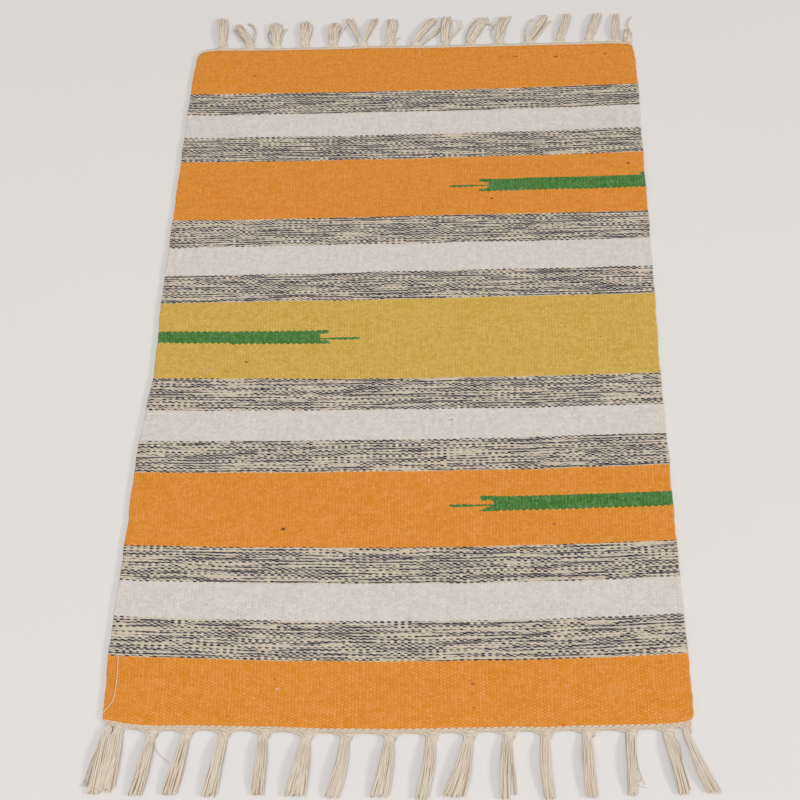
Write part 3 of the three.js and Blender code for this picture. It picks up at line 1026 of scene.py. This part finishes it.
def cloth_mesh():
    """The closed cloth without its ribs: a top grid, half-round selvedges and a flat underside."""
    inner = [distance for distance, _ in END_ROUNDING_MM]
    last_row = HALF_LENGTH_MM - FIRST_ROW_MM
    middle = np.linspace(-last_row, last_row, ROWS)
    end_rows = HALF_LENGTH_MM - np.array(inner)
    row_y = np.concatenate([-end_rows, middle, end_rows[::-1]])
    end_distance = HALF_LENGTH_MM - np.abs(row_y)
    height_share = np.interp(end_distance, inner, [share for _, share in END_ROUNDING_MM])

    top_ribs = np.arange(0.5, RIBS - 0.5 + 1e-6, 1 / COLUMNS_PER_RIB)
    below_ribs = np.union1d(top_ribs[::BELOW_EACH], top_ribs[-1:])[::-1]
    side_ribs = np.array([row["inset"] / (2 * HALF_WIDTH_MM) * RIBS for row in SELVEDGE_PROFILE_MM])
    side_up = np.array([row["up"] for row in SELVEDGE_PROFILE_MM])
    side_map = np.array([row["rib"] for row in SELVEDGE_PROFILE_MM])

    # One ring of the cross-section: top left to right, right side down, underside back, left side up.
    ring_rib = np.concatenate([top_ribs, RIBS - side_ribs, below_ribs, side_ribs[::-1]])
    top_up = np.full(len(top_ribs), THICKNESS_MM)
    ring_up = np.concatenate([top_up, side_up, np.zeros(len(below_ribs)), side_up[::-1]])
    ring_map = np.concatenate([top_ribs, RIBS - side_map, below_ribs, side_map[::-1]])
    ring_crown = np.concatenate([np.ones(len(top_ribs)), np.zeros(len(ring_rib) - len(top_ribs))])
    size = len(ring_rib)

    rib, y0 = np.meshgrid(ring_rib, row_y)
    x, y = weft_point(rib / RIBS, y0)
    up = ring_up[None, :] * np.where(ring_up[None, :] > 0, height_share[:, None], 1)
    points = np.stack([x, y, up], axis=-1).reshape(-1, 3) * MM
    crown = (ring_crown[None, :] * np.where(height_share < 1, END_CROWN, 1)[:, None]).reshape(-1)

    rows = len(row_y)
    here = np.arange(size)
    there = (here + 1) % size
    base = (np.arange(rows - 1) * size)[:, None]
    quads = np.stack([base + here, base + there, base + there + size, base + here + size], axis=-1)
    faces = [tuple(face) for face in quads.reshape(-1, 4).tolist()]

    walls = end_walls(len(top_ribs), len(side_ribs), below_ribs)
    faces.extend(tuple(wall) for wall in walls)
    faces.extend(tuple((rows - 1) * size + place for place in wall[::-1]) for wall in walls)

    mesh = bpy.data.meshes.new("woven_body_grid")
    mesh.from_pydata(points.tolist(), [], faces)
    mesh.attributes.new("rib", "FLOAT", "POINT").data.foreach_set("value", rib.reshape(-1))
    mesh.attributes.new("crown", "FLOAT", "POINT").data.foreach_set("value", crown)

    # The map counts ribs and picks. At the foot of a selvedge the underside starts its own count.
    map_u = np.broadcast_to(ring_map, rib.shape).reshape(-1)
    map_v = pick_at(y0).reshape(-1)
    corners = np.empty(len(mesh.loops), dtype=np.int32)
    mesh.loops.foreach_get("vertex_index", corners)
    layer = mesh.uv_layers.new(name=WEAVE_MAP)
    both = np.stack([map_u[corners], map_v[corners]], axis=-1).astype(np.float32)
    layer.uv.foreach_set("vector", both.ravel())
    mesh.validate()
    return mesh


# End strips and fringe


class Tassel(NamedTuple):
    """A tassel, in millimetres: where it leaves its strip and where its tip lies across the rug, its
    width there, where it ends along the rug, and how far it sways aside half way.

    Its two halves may split apart by an amount at their tips. throat is half its width below the
    knot, knot and frizz are shares of the usual knot's size and of the usual looseness, and
    rounding is how much shorter its outer yarns are.
    """

    root: float
    tip: float
    width: float
    end: float
    sway: float
    split: float = 0.0
    throat: float = 4.5
    knot: float = 1.0
    frizz: float = 1.0
    rounding: float = 0.0


# The finish of each end. The strip lies from strip_start to strip_depth outside the last weft. It
# runs from strip_left to right, and the tassels gather the warp from warp_left to right.
NEAR_END = {
    "name": "near",
    "node": "near_fringe",
    "outward": -1,
    "y": -HALF_LENGTH_MM,
    "strip_start": -0.8,
    "strip_depth": 4.6,
    "strip_left": -305,
    "warp_left": -305,
    "right": 293,
    "tassels": [
        Tassel(-302.6, -308.5, 13.0, -519, 0.5, throat=5.0, knot=0.6),
        Tassel(-291.8, -297.5, 14.5, -517, 1.0, throat=5.4, knot=0.7),
        Tassel(-257.5, -267.0, 12.5, -520, 1.5),
        Tassel(-222.0, -232.5, 13.5, -519, 1.0),
        Tassel(-183.5, -193.0, 12.5, -521, 0.5),
        Tassel(-143.0, -144.5, 11.0, -518, 0.5),
        Tassel(-99.0, -107.5, 20.0, -519, 0.5),
        Tassel(-59.0, -69.5, 14.0, -520, 2.0),
        Tassel(-14.0, -23.0, 18.0, -519, 1.0),
        Tassel(28.0, 20.0, 13.0, -521, 1.5),
        Tassel(66.0, 50.0, 20.0, -518, 2.5),
        Tassel(106.0, 102.5, 9.5, -519, -1.0),
        Tassel(144.0, 146.0, 9.5, -520, -1.5),
        Tassel(186.5, 189.0, 10.0, -517, -1.5),
        Tassel(230.5, 228.5, 8.5, -515, -0.5),
        Tassel(268.0, 279.5, 11.0, -513, 0.5),
        Tassel(287.0, 310.5, 11.0, -512, -2.5, throat=2.8, knot=0.7),
    ],
}
FAR_END = {
    "name": "far",
    "node": "far_fringe",
    "outward": 1,
    "y": HALF_LENGTH_MM,
    "strip_start": 0.0,
    "strip_depth": 5.0,
    "strip_left": -289,
    "warp_left": -268,
    "right": 300,
    "tassels": [
        Tassel(-260.0, -263.5, 13.0, 509, 1.0),
        Tassel(-222.5, -239.5, 13.0, 496, 1.0, frizz=1.7, rounding=5.0),
        Tassel(-186.0, -188.0, 17.0, 501, 0.5, frizz=1.4, rounding=9.0),
        Tassel(-147.0, -146.5, 15.0, 504, 1.5, frizz=1.2, rounding=6.0),
        Tassel(-108.0, -106.0, 15.0, 501, -1.0, frizz=1.3, rounding=4.0),
        Tassel(-68.0, -69.0, 15.0, 509, 0, split=14),
        Tassel(-31.0, -26.0, 12.5, 508, 1.0),
        Tassel(4.0, 30.0, 9.5, 509, 0.5),
        Tassel(45.5, 48.5, 12.5, 512, -1.0),
        Tassel(81.0, 100.0, 13.0, 511, 1.0, knot=0.8),
        Tassel(120.5, 131.5, 10.5, 513, -2.0, split=2.0, knot=0.8),
        Tassel(160.5, 184.0, 10.0, 515, 1.5, knot=0.8),
        Tassel(203.5, 215.0, 11.5, 517, 0.5, knot=0.8),
        Tassel(242.5, 258.0, 11.5, 518, 0.5, knot=0.8),
        Tassel(279.5, 284.5, 8.5, 518, -1.0, knot=0.8),
        Tassel(295.0, 298.0, 9.0, 487, 0, frizz=1.6),
    ],
}

# A knot on a tassel's head: how far it reaches past the strip, half its width, its height, its
# turns and their pitch, how far it sits aside and how much lower it is on its right.
KNOT = {
    "reach": 6.5,
    "half_width": 6.6,
    "height": 4.9,
    "turns": 8,
    "pitch": 0.95,
    "aside": 1.2,
    "skew": 1.9,
}
FRINGE_SEED = 7
STRIP_SEED = 3

# How far a tassel lifts off the floor half way along, and its layers of yarns.
TASSEL_ARCH_MM = 3.6
LAYERS = 3

# Over how much of the rug's width, at each side of a tassel, the strip is drawn in.
DRAWN_IN_MM = 18

# A strip's wires: their points to a rib, the middle height and radius of its picks and how far
# these go up and down, and the height and radius of its cord's strands and how far they turn.
POINTS_PER_RIB = 4
STRIP_PICK_MM = {"up": 2.35, "radius": 1.25, "aside": 0.24, "rise": 0.34, "fuller": 0.22}
STRIP_CORD_MM = {"up": 1.8, "radius": 0.85, "aside": 0.16, "rise": 0.28}

# How far a tassel's yarns differ, each way: at the throat, at their cut ends and in their bends in
# millimetres, and at their tips as a share of its half width. The lowest layer keeps closer.
SCATTER = {"throat": 0.4, "end": 2.6, "bend": 1.1, "tip": 0.3}
LOWEST_LAYER = 0.35

# Strands that left a tassel are thinner than its yarns, and thinnest in ones and twos.
LOOSE_RADIUS_MM = {"few": 0.4, "many": 0.5}


def end_line(end, x_mm):
    """The place along the rug of an end's last weft, at a place across it."""
    section = SECTIONS_MM[0] if end["outward"] < 0 else SECTIONS_MM[-1]
    share = x_mm / HALF_WIDTH_MM
    even = end["y"] + section["tilt"] * share + section["bow"] * share**2
    return even - end["outward"] * float(end_shift(end["name"], x_mm))


def beyond(end, x_mm, distance):
    """The place along the rug at a distance outside an end's last weft."""
    return end_line(end, x_mm) + end["outward"] * distance


def strip_point(end, x_mm, distance):
    """A place on an end strip, which draws in and narrows round the cloth's corners."""
    section, side = (SECTIONS_MM[0], "near") if end["outward"] < 0 else (SECTIONS_MM[-1], "far")
    drop = corner_drop(x_mm - section["left"], CORNER_RADIUS_MM[side + "_left"])
    drop = drop + corner_drop(section["right"] - x_mm, CORNER_RADIUS_MM[side + "_right"])
    free = min(min(abs(x_mm - tassel.root) for tassel in end["tassels"]) / DRAWN_IN_MM, 1)
    narrow = (1 - 0.6 * min(drop / 4, 1)) * (1 - 0.2 * free)
    return beyond(end, x_mm, distance * narrow - drop)


def wire_mesh(name, lines):
    """A wire mesh of lines, each with its points in millimetres, its radius and its tint."""
    points = []
    edges = []
    gauges = []
    tints = []
    for line in lines:
        first = len(points)
        points.extend(Vector(point) * MM for point in line["points"])
        edges.extend((i, i + 1) for i in range(first, len(points) - 1))
        radius = line["radius"]
        count = len(points) - first
        gauges.extend(radius if isinstance(radius, list) else [radius] * count)
        tints.extend([line["tint"]] * count)
    mesh = bpy.data.meshes.new(name + "_wire")
    mesh.from_pydata(points, edges, [])
    gauges = [gauge * MM for gauge in gauges]
    mesh.attributes.new("gauge", "FLOAT", "POINT").data.foreach_set("value", gauges)
    mesh.attributes.new(YARN_TINT, "FLOAT", "POINT").data.foreach_set("value", tints)
    return mesh


def strip_lines(end, draw):
    """The end strip: picks of natural yarn over and under the ribs, and a twined cord outside them."""
    start = end["strip_start"]
    woven = end["strip_depth"] - start - 2 * STRIP_CORD_MM["radius"]
    picks = max(int(woven / PICK_MM), 1)
    pitch = woven / picks
    rib_width = 2 * HALF_WIDTH_MM / RIBS
    count = int((end["right"] - end["strip_left"]) / rib_width * POINTS_PER_RIB)
    places = [end["strip_left"] + i * rib_width / POINTS_PER_RIB for i in range(count + 1)]
    lines = []
    for pick in range(picks):
        points = []
        radii = []
        for x in places:
            phase = math.cos(math.pi * (x / rib_width + pick)) + draw.uniform(-0.4, 0.4)
            distance = start + pitch * (pick + 0.5) - STRIP_PICK_MM["aside"] * phase
            up = STRIP_PICK_MM["up"] + STRIP_PICK_MM["rise"] * phase
            points.append((x, strip_point(end, x, distance), up))
            radii.append(STRIP_PICK_MM["radius"] + STRIP_PICK_MM["fuller"] * phase)
        lines.append({"points": points, "radius": radii, "tint": 0.40 + 0.06 * (pick % 2)})
    radius = STRIP_CORD_MM["radius"]
    for strand in range(2):
        points = []
        for x in places:
            turn = math.pi * (x / rib_width + strand)
            distance = end["strip_depth"] - 1.1 * radius + STRIP_CORD_MM["aside"] * math.cos(turn)
            up = STRIP_CORD_MM["up"] + STRIP_CORD_MM["rise"] * math.sin(turn)
            points.append((x, strip_point(end, x, distance), up))
        lines.append({"points": points, "radius": radius, "tint": 0.55 + 0.1 * strand})
    return lines


def either_way(draw, reach):
    return draw.uniform(-reach, reach)


def tassel_reach(end, place):
    """The stretch of the strip whose warp ends are gathered into one tassel."""
    roots = [tassel.root for tassel in end["tassels"]]
    low = end["warp_left"] if place == 0 else (roots[place - 1] + roots[place]) / 2
    high = end["right"] if place == len(roots) - 1 else (roots[place] + roots[place + 1]) / 2
    return low, high


def tassel_lines(end, place, sizes, draw):
    """One tassel: warp ends that leave the strip, pass the knot and hang to their cut ends."""
    tassel = end["tassels"][place]
    low, high = tassel_reach(end, place)
    root = tassel.root
    radius = sizes.yarn_radius / MM
    count = round(tassel.width * sizes.yarns_per_mm)
    edge = end["strip_depth"] - 1.2
    foot = beyond(end, root, end["strip_depth"] + KNOT["reach"])
    lines = []
    for yarn in range(count):
        share = (yarn + 0.5) / count * 2 - 1
        layer = yarn % LAYERS
        loose = LOWEST_LAYER if layer == 0 else tassel.frizz
        start_x = low + (high - low) * (yarn + 0.5) / count
        near_x = root + (start_x - root) * 0.55
        knot_x = root + KNOT["aside"] + share * KNOT["half_width"] * tassel.knot * 0.92
        throat_x = root + share * tassel.throat + either_way(draw, SCATTER["throat"])
        points = [
            (start_x, beyond(end, start_x, edge - 0.4), 1.4),
            (near_x, beyond(end, near_x, edge + 0.8), 1.35 + layer * 0.3),
            (knot_x, beyond(end, root, end["strip_depth"] + 1.7), 1.3 + layer * 0.9),
            (throat_x, foot, radius + 0.2 + layer * 1.1),
        ]
        rounded = end["outward"] * tassel.rounding * squared(share)
        end_y = tassel.end + either_way(draw, SCATTER["end"]) * tassel.frizz - rounded
        tip_share = share + either_way(draw, SCATTER["tip"]) * loose
        bend = either_way(draw, SCATTER["bend"]) * loose
        start = draw.uniform(0.0, 1.5)
        lift = draw.uniform(0.0, 0.8)
        for along in (0.2, 0.4, 0.6, 0.8, 1.0):
            lean = (tassel.tip - root) * along + tassel.sway * math.sin(math.pi * along)
            across = share * tassel.throat * (1 - along) + tip_share * tassel.width / 2 * along
            split = math.copysign(tassel.split * along, share)
            wave = bend * math.sin(4.4 * along + start) * min(along * 3, 1)
            y = foot + (end_y - foot) * along
            rise = radius + (layer * 0.6 + lift * math.sin(3 * along + yarn)) * (1 - 0.4 * along)
            arch = TASSEL_ARCH_MM * math.sin(math.pi * (0.12 + 0.76 * along))
            points.append((root + lean + across + split + wave, y, max(rise, radius) + arch))
        # Painted shade: the lower layers get darker tints, where they lie under the upper yarns.
        tint = draw.uniform(0.6, 1.0) if layer == 0 else draw.uniform(0.0, 0.9 - 0.3 * layer)
        lines.append({"points": points, "radius": radius, "tint": tint})
    return lines


def knot_lines(end, tassel, sizes, draw):
    """The turns of the knot that close a tassel's head, one beside the other, lower on its right."""
    radius = sizes.yarn_radius / MM * 1.3
    middle = tassel.root + KNOT["aside"]
    wide = KNOT["half_width"] * tassel.knot * draw.uniform(0.88, 1.06)
    skew = KNOT["skew"] * draw.uniform(0.7, 1.5)
    lines = []
    for turn in range(KNOT["turns"]):
        distance = end["strip_depth"] - 1.4 + turn * KNOT["pitch"]
        rise = KNOT["height"] * tassel.knot * min(0.62 + 0.13 * turn, 1.0)
        narrow = (1 - 0.05 * turn) * draw.uniform(0.95, 1.04)
        aside = draw.uniform(-0.5, 0.5)
        points = []
        for step in range(9):
            angle = math.pi * (-0.12 + 1.24 * step / 8)
            x = middle + aside + wide * narrow * math.cos(angle)
            up = radius + (rise * narrow - radius) * max(math.sin(angle), 0) ** 0.7
            lower = skew * (turn / KNOT["turns"]) * math.cos(angle) + draw.uniform(-0.25, 0.25)
            points.append((x, beyond(end, tassel.root, distance + lower), up))
        gauge = radius * draw.uniform(0.85, 1.2)
        lines.append({"points": points, "radius": gauge, "tint": draw.uniform(0.15, 0.6)})

    # The last turn is tucked under on the right and stands out there.
    tuck = [(0.45, 2.6, 3.6), (0.86, 3.6, 3.0), (0.90, 5.4, 2.0), (0.50, 7.0, 1.4), (0.0, 7.4, 1.2)]
    points = [
        (middle + wide * side, beyond(end, tassel.root, end["strip_depth"] + down), up)
        for side, down, up in tuck
    ]
    lines.append({"points": points, "radius": radius * 1.3, "tint": draw.uniform(0.3, 0.6)})
    return lines


def loose_lines(count, width, points, draw):
    """Strands that left their tassel together, side by side along a path."""
    path = np.array(points, float)
    ahead = np.gradient(path[:, :2], axis=0)
    aside = np.stack([-ahead[:, 1], ahead[:, 0]], axis=-1)
    aside /= np.linalg.norm(aside, axis=1)[:, None]
    lines = []
    for strand in range(count):
        offset = ((strand + 0.5) / count - 0.5) * width + draw.uniform(-0.2, 0.2)
        moved = path.copy()
        moved[:, :2] += aside * offset
        moved[:, 2] += (strand % 2) * 0.6
        gauge = LOOSE_RADIUS_MM["many" if count > 2 else "few"]
        lines.append({"points": moved.tolist(), "radius": gauge, "tint": draw.uniform(0.1, 0.5)})
    return lines


# Strands that left their tassels, listed one by one: how many, over what width, and their path, all in
# millimetres.
LOOSE_STRANDS = {
    "near": [
        (1, 0.0, [(-256.0, -459.0, 2.0), (-253.8, -467.1, 1.6), (-250.8, -477.0, 0.9),
                 (-244.3, -484.3, 0.6), (-236.7, -490.3, 0.6)]),
        (1, 0.0, [(-303.0, -461.0, 2.0), (-305.6, -467.7, 1.6), (-310.9, -480.7, 0.9),
                 (-316.4, -496.6, 0.6), (-322.3, -514.2, 0.6)]),
        (2, 1.6, [(-302.5, -461.0, 2.0), (-305.5, -468.3, 1.6), (-309.2, -484.4, 0.9),
                 (-314.4, -493.0, 0.6), (-317.3, -513.5, 0.6)]),
        (1, 0.0, [(-303.5, -461.0, 2.0), (-307.3, -469.6, 1.6), (-313.6, -484.4, 0.9),
                 (-318.0, -499.1, 0.6), (-319.1, -514.1, 0.6)]),
        (3, 3.4, [(-304.0, -462.0, 2.0), (-308.2, -474.0, 1.4), (-312.6, -491.0, 0.8),
                 (-317.0, -513.8, 0.6)]),
        (2, 1.8, [(-289.0, -460.0, 2.0), (-287.4, -485.3, 1.0), (-290.1, -504.8, 0.6),
                 (-291.2, -516.8, 0.6)]),
        (2, 1.4, [(-219.0, -460.0, 2.0), (-222.2, -483.4, 1.0), (-223.7, -500.4, 0.6),
                 (-224.9, -516.7, 0.6)]),
        (3, 4.0, [(108.5, -461.0, 2.0), (110.0, -484.0, 1.0), (112.0, -500.0, 0.6), (112.5, -517.0, 0.6)]),
        (1, 0.0, [(233.0, -459.0, 2.0), (234.6, -464.9, 1.6), (235.5, -477.1, 0.9),
                 (237.4, -492.8, 0.6), (242.0, -505.9, 0.6)]),
        (1, 0.0, [(233.0, -459.0, 2.0), (236.0, -486.8, 1.0), (238.9, -497.6, 0.6), (236.6, -503.6, 0.6)]),
        (1, 0.0, [(232.8, -496.5, 0.6), (234.5, -506.0, 0.6), (239.4, -507.7, 0.6), (243.6, -508.9, 0.6)]),
        (2, 1.6, [(269.5, -452.0, 2.0), (278.0, -464.4, 1.6), (280.3, -474.2, 0.9), (279.1, -486.3, 0.6)]),
    ],
    "far": [
        (5, 3.0, [(-220.5, 462.0, 2.4), (-217.8, 469.9, 1.8), (-216.4, 488.1, 1.2),
                 (-220.6, 498.4, 1.0), (-227.1, 502.1, 0.8)]),
        (2, 3.0, [(-226.0, 464.0, 2.4), (-235.0, 473.9, 1.6), (-242.0, 484.1, 1.0), (-247.0, 489.2, 0.7)]),
        (4, 1.8, [(-184.0, 466.0, 2.4), (-180.0, 477.9, 1.6), (-175.6, 487.0, 1.2), (-171.6, 493.2, 0.8)]),
        (2, 4.0, [(-187.0, 462.0, 2.4), (-192.0, 466.0, 1.8), (-197.0, 473.0, 1.2),
                 (-198.5, 482.0, 1.0), (-195.3, 490.1, 1.2), (-188.0, 496.0, 1.6)]),
        (3, 1.6, [(-103.0, 470.0, 2.4), (-98.7, 480.9, 1.6), (-96.0, 489.5, 1.2), (-90.8, 497.1, 0.8)]),
        (2, 1.2, [(-27.0, 463.0, 2.4), (-21.8, 468.6, 1.6), (-18.8, 474.7, 1.0), (-15.0, 476.7, 0.8)]),
        (9, 4.6, [(4.0, 459.5, 3.0), (10.3, 463.2, 2.2), (20.9, 472.6, 1.6),
                 (31.6, 483.7, 1.2), (40.1, 494.9, 0.8)]),
        (2, 1.2, [(49.0, 466.0, 2.4), (60.7, 482.7, 1.4), (65.4, 492.8, 1.0),
                 (64.7, 505.1, 0.8), (61.7, 509.2, 0.8)]),
        (2, 1.0, [(50.0, 468.0, 2.4), (56.1, 484.7, 1.4), (57.7, 496.9, 1.0),
                 (56.3, 505.1, 0.8), (59.4, 509.2, 0.8)]),
        (2, 1.2, [(49.0, 466.0, 2.4), (63.8, 486.7, 1.4), (70.0, 496.9, 1.0), (69.4, 509.2, 0.8)]),
        (5, 3.0, [(94.0, 493.0, 2.6), (100.8, 501.0, 2.2), (106.2, 503.0, 1.8),
                 (111.5, 498.9, 1.4), (112.2, 493.8, 1.0), (107.5, 491.8, 0.8)]),
        (2, 2.0, [(79.0, 463.0, 2.4), (74.3, 470.6, 1.4), (76.0, 484.7, 1.0),
                 (82.3, 498.9, 0.8), (90.2, 509.2, 0.8)]),
        (1, 0.0, [(119.0, 463.0, 2.4), (114.5, 470.5, 1.4), (109.6, 480.6, 1.0),
                 (110.7, 494.8, 0.8), (117.8, 503.0, 0.8)]),
        (2, 4.0, [(158.0, 464.0, 2.4), (156.0, 473.0, 1.4), (155.7, 488.6, 1.0),
                 (160.8, 502.9, 0.8), (168.7, 511.1, 0.8)]),
        (5, 3.0, [(162.0, 463.0, 2.6), (168.0, 472.0, 1.8), (175.8, 482.5, 1.2),
                 (184.5, 496.7, 1.0), (193.2, 506.9, 0.8)]),
        (2, 1.8, [(297.0, 466.0, 2.4), (300.5, 486.4, 1.2), (297.4, 502.7, 0.8),
                 (302.3, 510.9, 0.8), (306.1, 516.6, 0.8)]),
        (1, 0.0, [(295.0, 480.0, 1.6), (296.5, 492.0, 1.0), (300.5, 502.0, 0.8), (300.5, 512.0, 0.8)]),
    ],
}

# The stray thread: its path and its radius in millimetres, its tint, its colours in the light and
# in its grooves, the length of one step along it and the sides of its section.
STRAY_THREAD = [
    (-299.9, -381.5, 3.9),
    (-299.4, -388.0, 4.6),
    (-298.6, -397.7, 4.6),
    (-298.2, -413.2, 4.6),
    (-299.6, -428.6, 4.6),
    (-304.3, -436.3, 4.6),
    (-308.6, -441.3, 3.6),
]
STRAY_RADIUS_MM = 0.4
STRAY_TINT = 0.2
STRAY_COLOURS = [(232, 214, 200), (205, 180, 160)]
STRAY_STEP_MM = 2.0
STRAY_SIDES = 6


def spin(name, lines, material, step, sides):
    """Spins a piece of yarns from lines."""
    values = {"Step": step, "Sides": sides, "Material": material}
    piece = grown(name, wire_mesh(name, lines), yarn_tree(), values)
    return piece


def natural_material(colours):
    """The undyed yarn's material, made once."""
    found = bpy.data.materials.get("natural yarn")
    if found is None:
        found = spun_yarn("natural yarn", colours.natural, colours.natural_shade, TWIST_LENGTH_MM)
    return found


class WovenBody(bpy.types.Operator):
    """Weaves the rug's body"""

    bl_idname = "kilim.woven_body"
    bl_label = "Woven Body"

    def execute(self, context):
        sizes = context.scene.kilim_weave
        material = woven_cotton(context.scene.kilim_colours, sizes)
        values = {
            "Relief": sizes.relief,
            "Swell": sizes.swell,
            "Unevenness": sizes.unevenness,
            "Material": material,
        }
        body = grown("woven_body", cloth_mesh(), rib_tree(), values)
        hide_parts("rug_body")
        return {"FINISHED"}


class EndStrips(bpy.types.Operator):
    """Twines the natural yarn strip at each end"""

    bl_idname = "kilim.end_strips"
    bl_label = "End Strips"

    def execute(self, context):
        sizes = context.scene.kilim_fringe
        material = natural_material(context.scene.kilim_colours)
        draw = random.Random(STRIP_SEED)
        for end in (NEAR_END, FAR_END):
            lines = strip_lines(end, draw)
            strip = spin(end["name"] + "_strip", lines, material, sizes.strip_step, sizes.sides)
            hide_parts(end["node"])
        return {"FINISHED"}


class Tassels(bpy.types.Operator):
    """Knots the warp ends into tassels"""

    bl_idname = "kilim.tassels"
    bl_label = "Tassels"

    def execute(self, context):
        sizes = context.scene.kilim_fringe
        material = natural_material(context.scene.kilim_colours)
        draw = random.Random(FRINGE_SEED)
        for end in (NEAR_END, FAR_END):
            lines = []
            for place, tassel in enumerate(end["tassels"]):
                lines.extend(tassel_lines(end, place, sizes, draw))
                lines.extend(knot_lines(end, tassel, sizes, draw))
            for count, width, points in LOOSE_STRANDS[end["name"]]:
                lines.extend(loose_lines(count, width, points, draw))
            tassels = spin(end["name"] + "_tassels", lines, material, sizes.yarn_step, sizes.sides)
            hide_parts(end["node"])
        return {"FINISHED"}


class StrayThread(bpy.types.Operator):
    """Lays the stray warp thread on the near orange band"""

    bl_idname = "kilim.stray_thread"
    bl_label = "Stray Thread"

    def execute(self, context):
        light, shade = [linear(*srgb) for srgb in STRAY_COLOURS]
        material = spun_yarn("stray cotton", light, shade, STRAY_TWIST_MM)
        lines = [{"points": STRAY_THREAD, "radius": STRAY_RADIUS_MM, "tint": STRAY_TINT}]
        spin("stray_thread", lines, material, STRAY_STEP_MM * MM, STRAY_SIDES)
        return {"FINISHED"}


# Stage

# The camera stands above and before the near end, as the photographer did. Its place and its two
# directions come from the rug's corners and bands in the photo.
CAMERA_PLACE_MM = (18.33, -672.15, 1200.64)
CAMERA_RIGHT = (0.99979, 0.01358, -0.01544)
CAMERA_UP = (-0.00534, 0.89663, 0.44274)
CAMERA_LENS = 51.75
SENSOR = 36.0
FLOOR_DROP = 0.2 * MM

# The two soft lights, in metres. They look at the rug's middle.
KEY_LIGHT = {"place": (7.8, -2.0, 3.9), "size": 1.5, "colour": (1.0, 0.98, 0.95)}
TOP_LIGHT = {"place": (-0.8, -1.6, 4.6), "size": 3.4, "colour": (0.99, 0.995, 1.0)}
RUG_MIDDLE = (0.0, 0.0, 0.0)


def aimed(place, target):
    """A placement that looks from a place at a target."""
    direction = Vector(target) - Vector(place)
    return Matrix.Translation(place) @ direction.to_track_quat("-Z", "Y").to_matrix().to_4x4()


def soft_light(name, power, place, size, colour):
    data = bpy.data.lights.new(name, "AREA")
    data.shape = "DISK"
    data.size = size
    data.energy = power
    data.color = colour
    lamp = bpy.data.objects.new(name, data)
    lamp.matrix_world = aimed(place, RUG_MIDDLE)
    bpy.context.scene.collection.objects.link(lamp)


class Stage(bpy.types.Operator):
    """Sets the camera, the floor and the light"""

    bl_idname = "kilim.stage"
    bl_label = "Stage"

    def execute(self, context):
        scene = context.scene
        settings = scene.kilim_stage
        data = bpy.data.cameras.new("camera")
        data.lens = CAMERA_LENS
        data.sensor_width = SENSOR
        data.dof.use_dof = False
        camera = bpy.data.objects.new("camera", data)
        right = Vector(CAMERA_RIGHT).normalized()
        up = Vector(CAMERA_UP)
        up = (up - right * up.dot(right)).normalized()
        back = right.cross(up)
        turn = Matrix((right, up, back)).transposed().to_4x4()
        camera.matrix_world = Matrix.Translation(Vector(CAMERA_PLACE_MM) * MM) @ turn
        scene.collection.objects.link(camera)
        scene.camera = camera

        half = settings.floor_size / 2
        corners = [(-half, -half), (half, -half), (half, half), (-half, half)]
        mesh = bpy.data.meshes.new("floor")
        mesh.from_pydata([(x, y, -FLOOR_DROP) for x, y in corners], [], [(0, 1, 2, 3)])
        mesh.materials.append(plain_floor(settings.floor_colour))
        floor = bpy.data.objects.new("floor", mesh)
        scene.collection.objects.link(floor)
        floor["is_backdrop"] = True

        soft_light("key", settings.key_power, **KEY_LIGHT)
        soft_light("top", settings.top_power, **TOP_LIGHT)
        world = bpy.data.worlds.new("studio")
        world.use_nodes = True
        background = world.node_tree.nodes["Background"]
        background.inputs["Color"].default_value = (1.0, 1.0, 1.0, 1.0)
        background.inputs["Strength"].default_value = settings.sky
        scene.world = world
        scene.view_settings.view_transform = "Standard"
        return {"FINISHED"}


class KilimPanel(bpy.types.Panel):
    """Lists the rug's pieces"""

    bl_idname = "VIEW3D_PT_kilim"
    bl_label = "Kilim Rug"
    bl_space_type = "VIEW_3D"
    bl_region_type = "UI"
    bl_category = "Kilim Rug"

    def draw(self, context):
        for operator in PIECES:
            self.layout.operator(operator.bl_idname)


PIECES = (Stage, WovenBody, EndStrips, Tassels, StrayThread)
GROUPS = {
    "kilim_weave": WeaveSizes,
    "kilim_colours": YarnColours,
    "kilim_fringe": FringeSizes,
    "kilim_stage": StageSettings,
}


def register():
    for made in (*GROUPS.values(), *PIECES, KilimPanel):
        bpy.utils.register_class(made)
    for name, group in GROUPS.items():
        setattr(bpy.types.Scene, name, PointerProperty(type=group))


def unregister():
    for name in GROUPS:
        delattr(bpy.types.Scene, name)
    for made in (KilimPanel, *reversed(PIECES), *GROUPS.values()):
        bpy.utils.unregister_class(made)


def main():
    register()
    bpy.ops.kilim.stage()
    bpy.ops.kilim.woven_body()
    bpy.ops.kilim.end_strips()
    bpy.ops.kilim.tassels()
    bpy.ops.kilim.stray_thread()
    body = bpy.data.objects["woven_body"]
    trims = ["near_strip", "near_tassels", "far_strip", "far_tassels"]
    [bpy.data.objects[name] for name in trims]
    sizes = {
        "cad": [list(corner) for corner in CAD_BOUNDS],
        "visual": [list(corner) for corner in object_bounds()],
    }


if __name__ == "__main__":
    main()
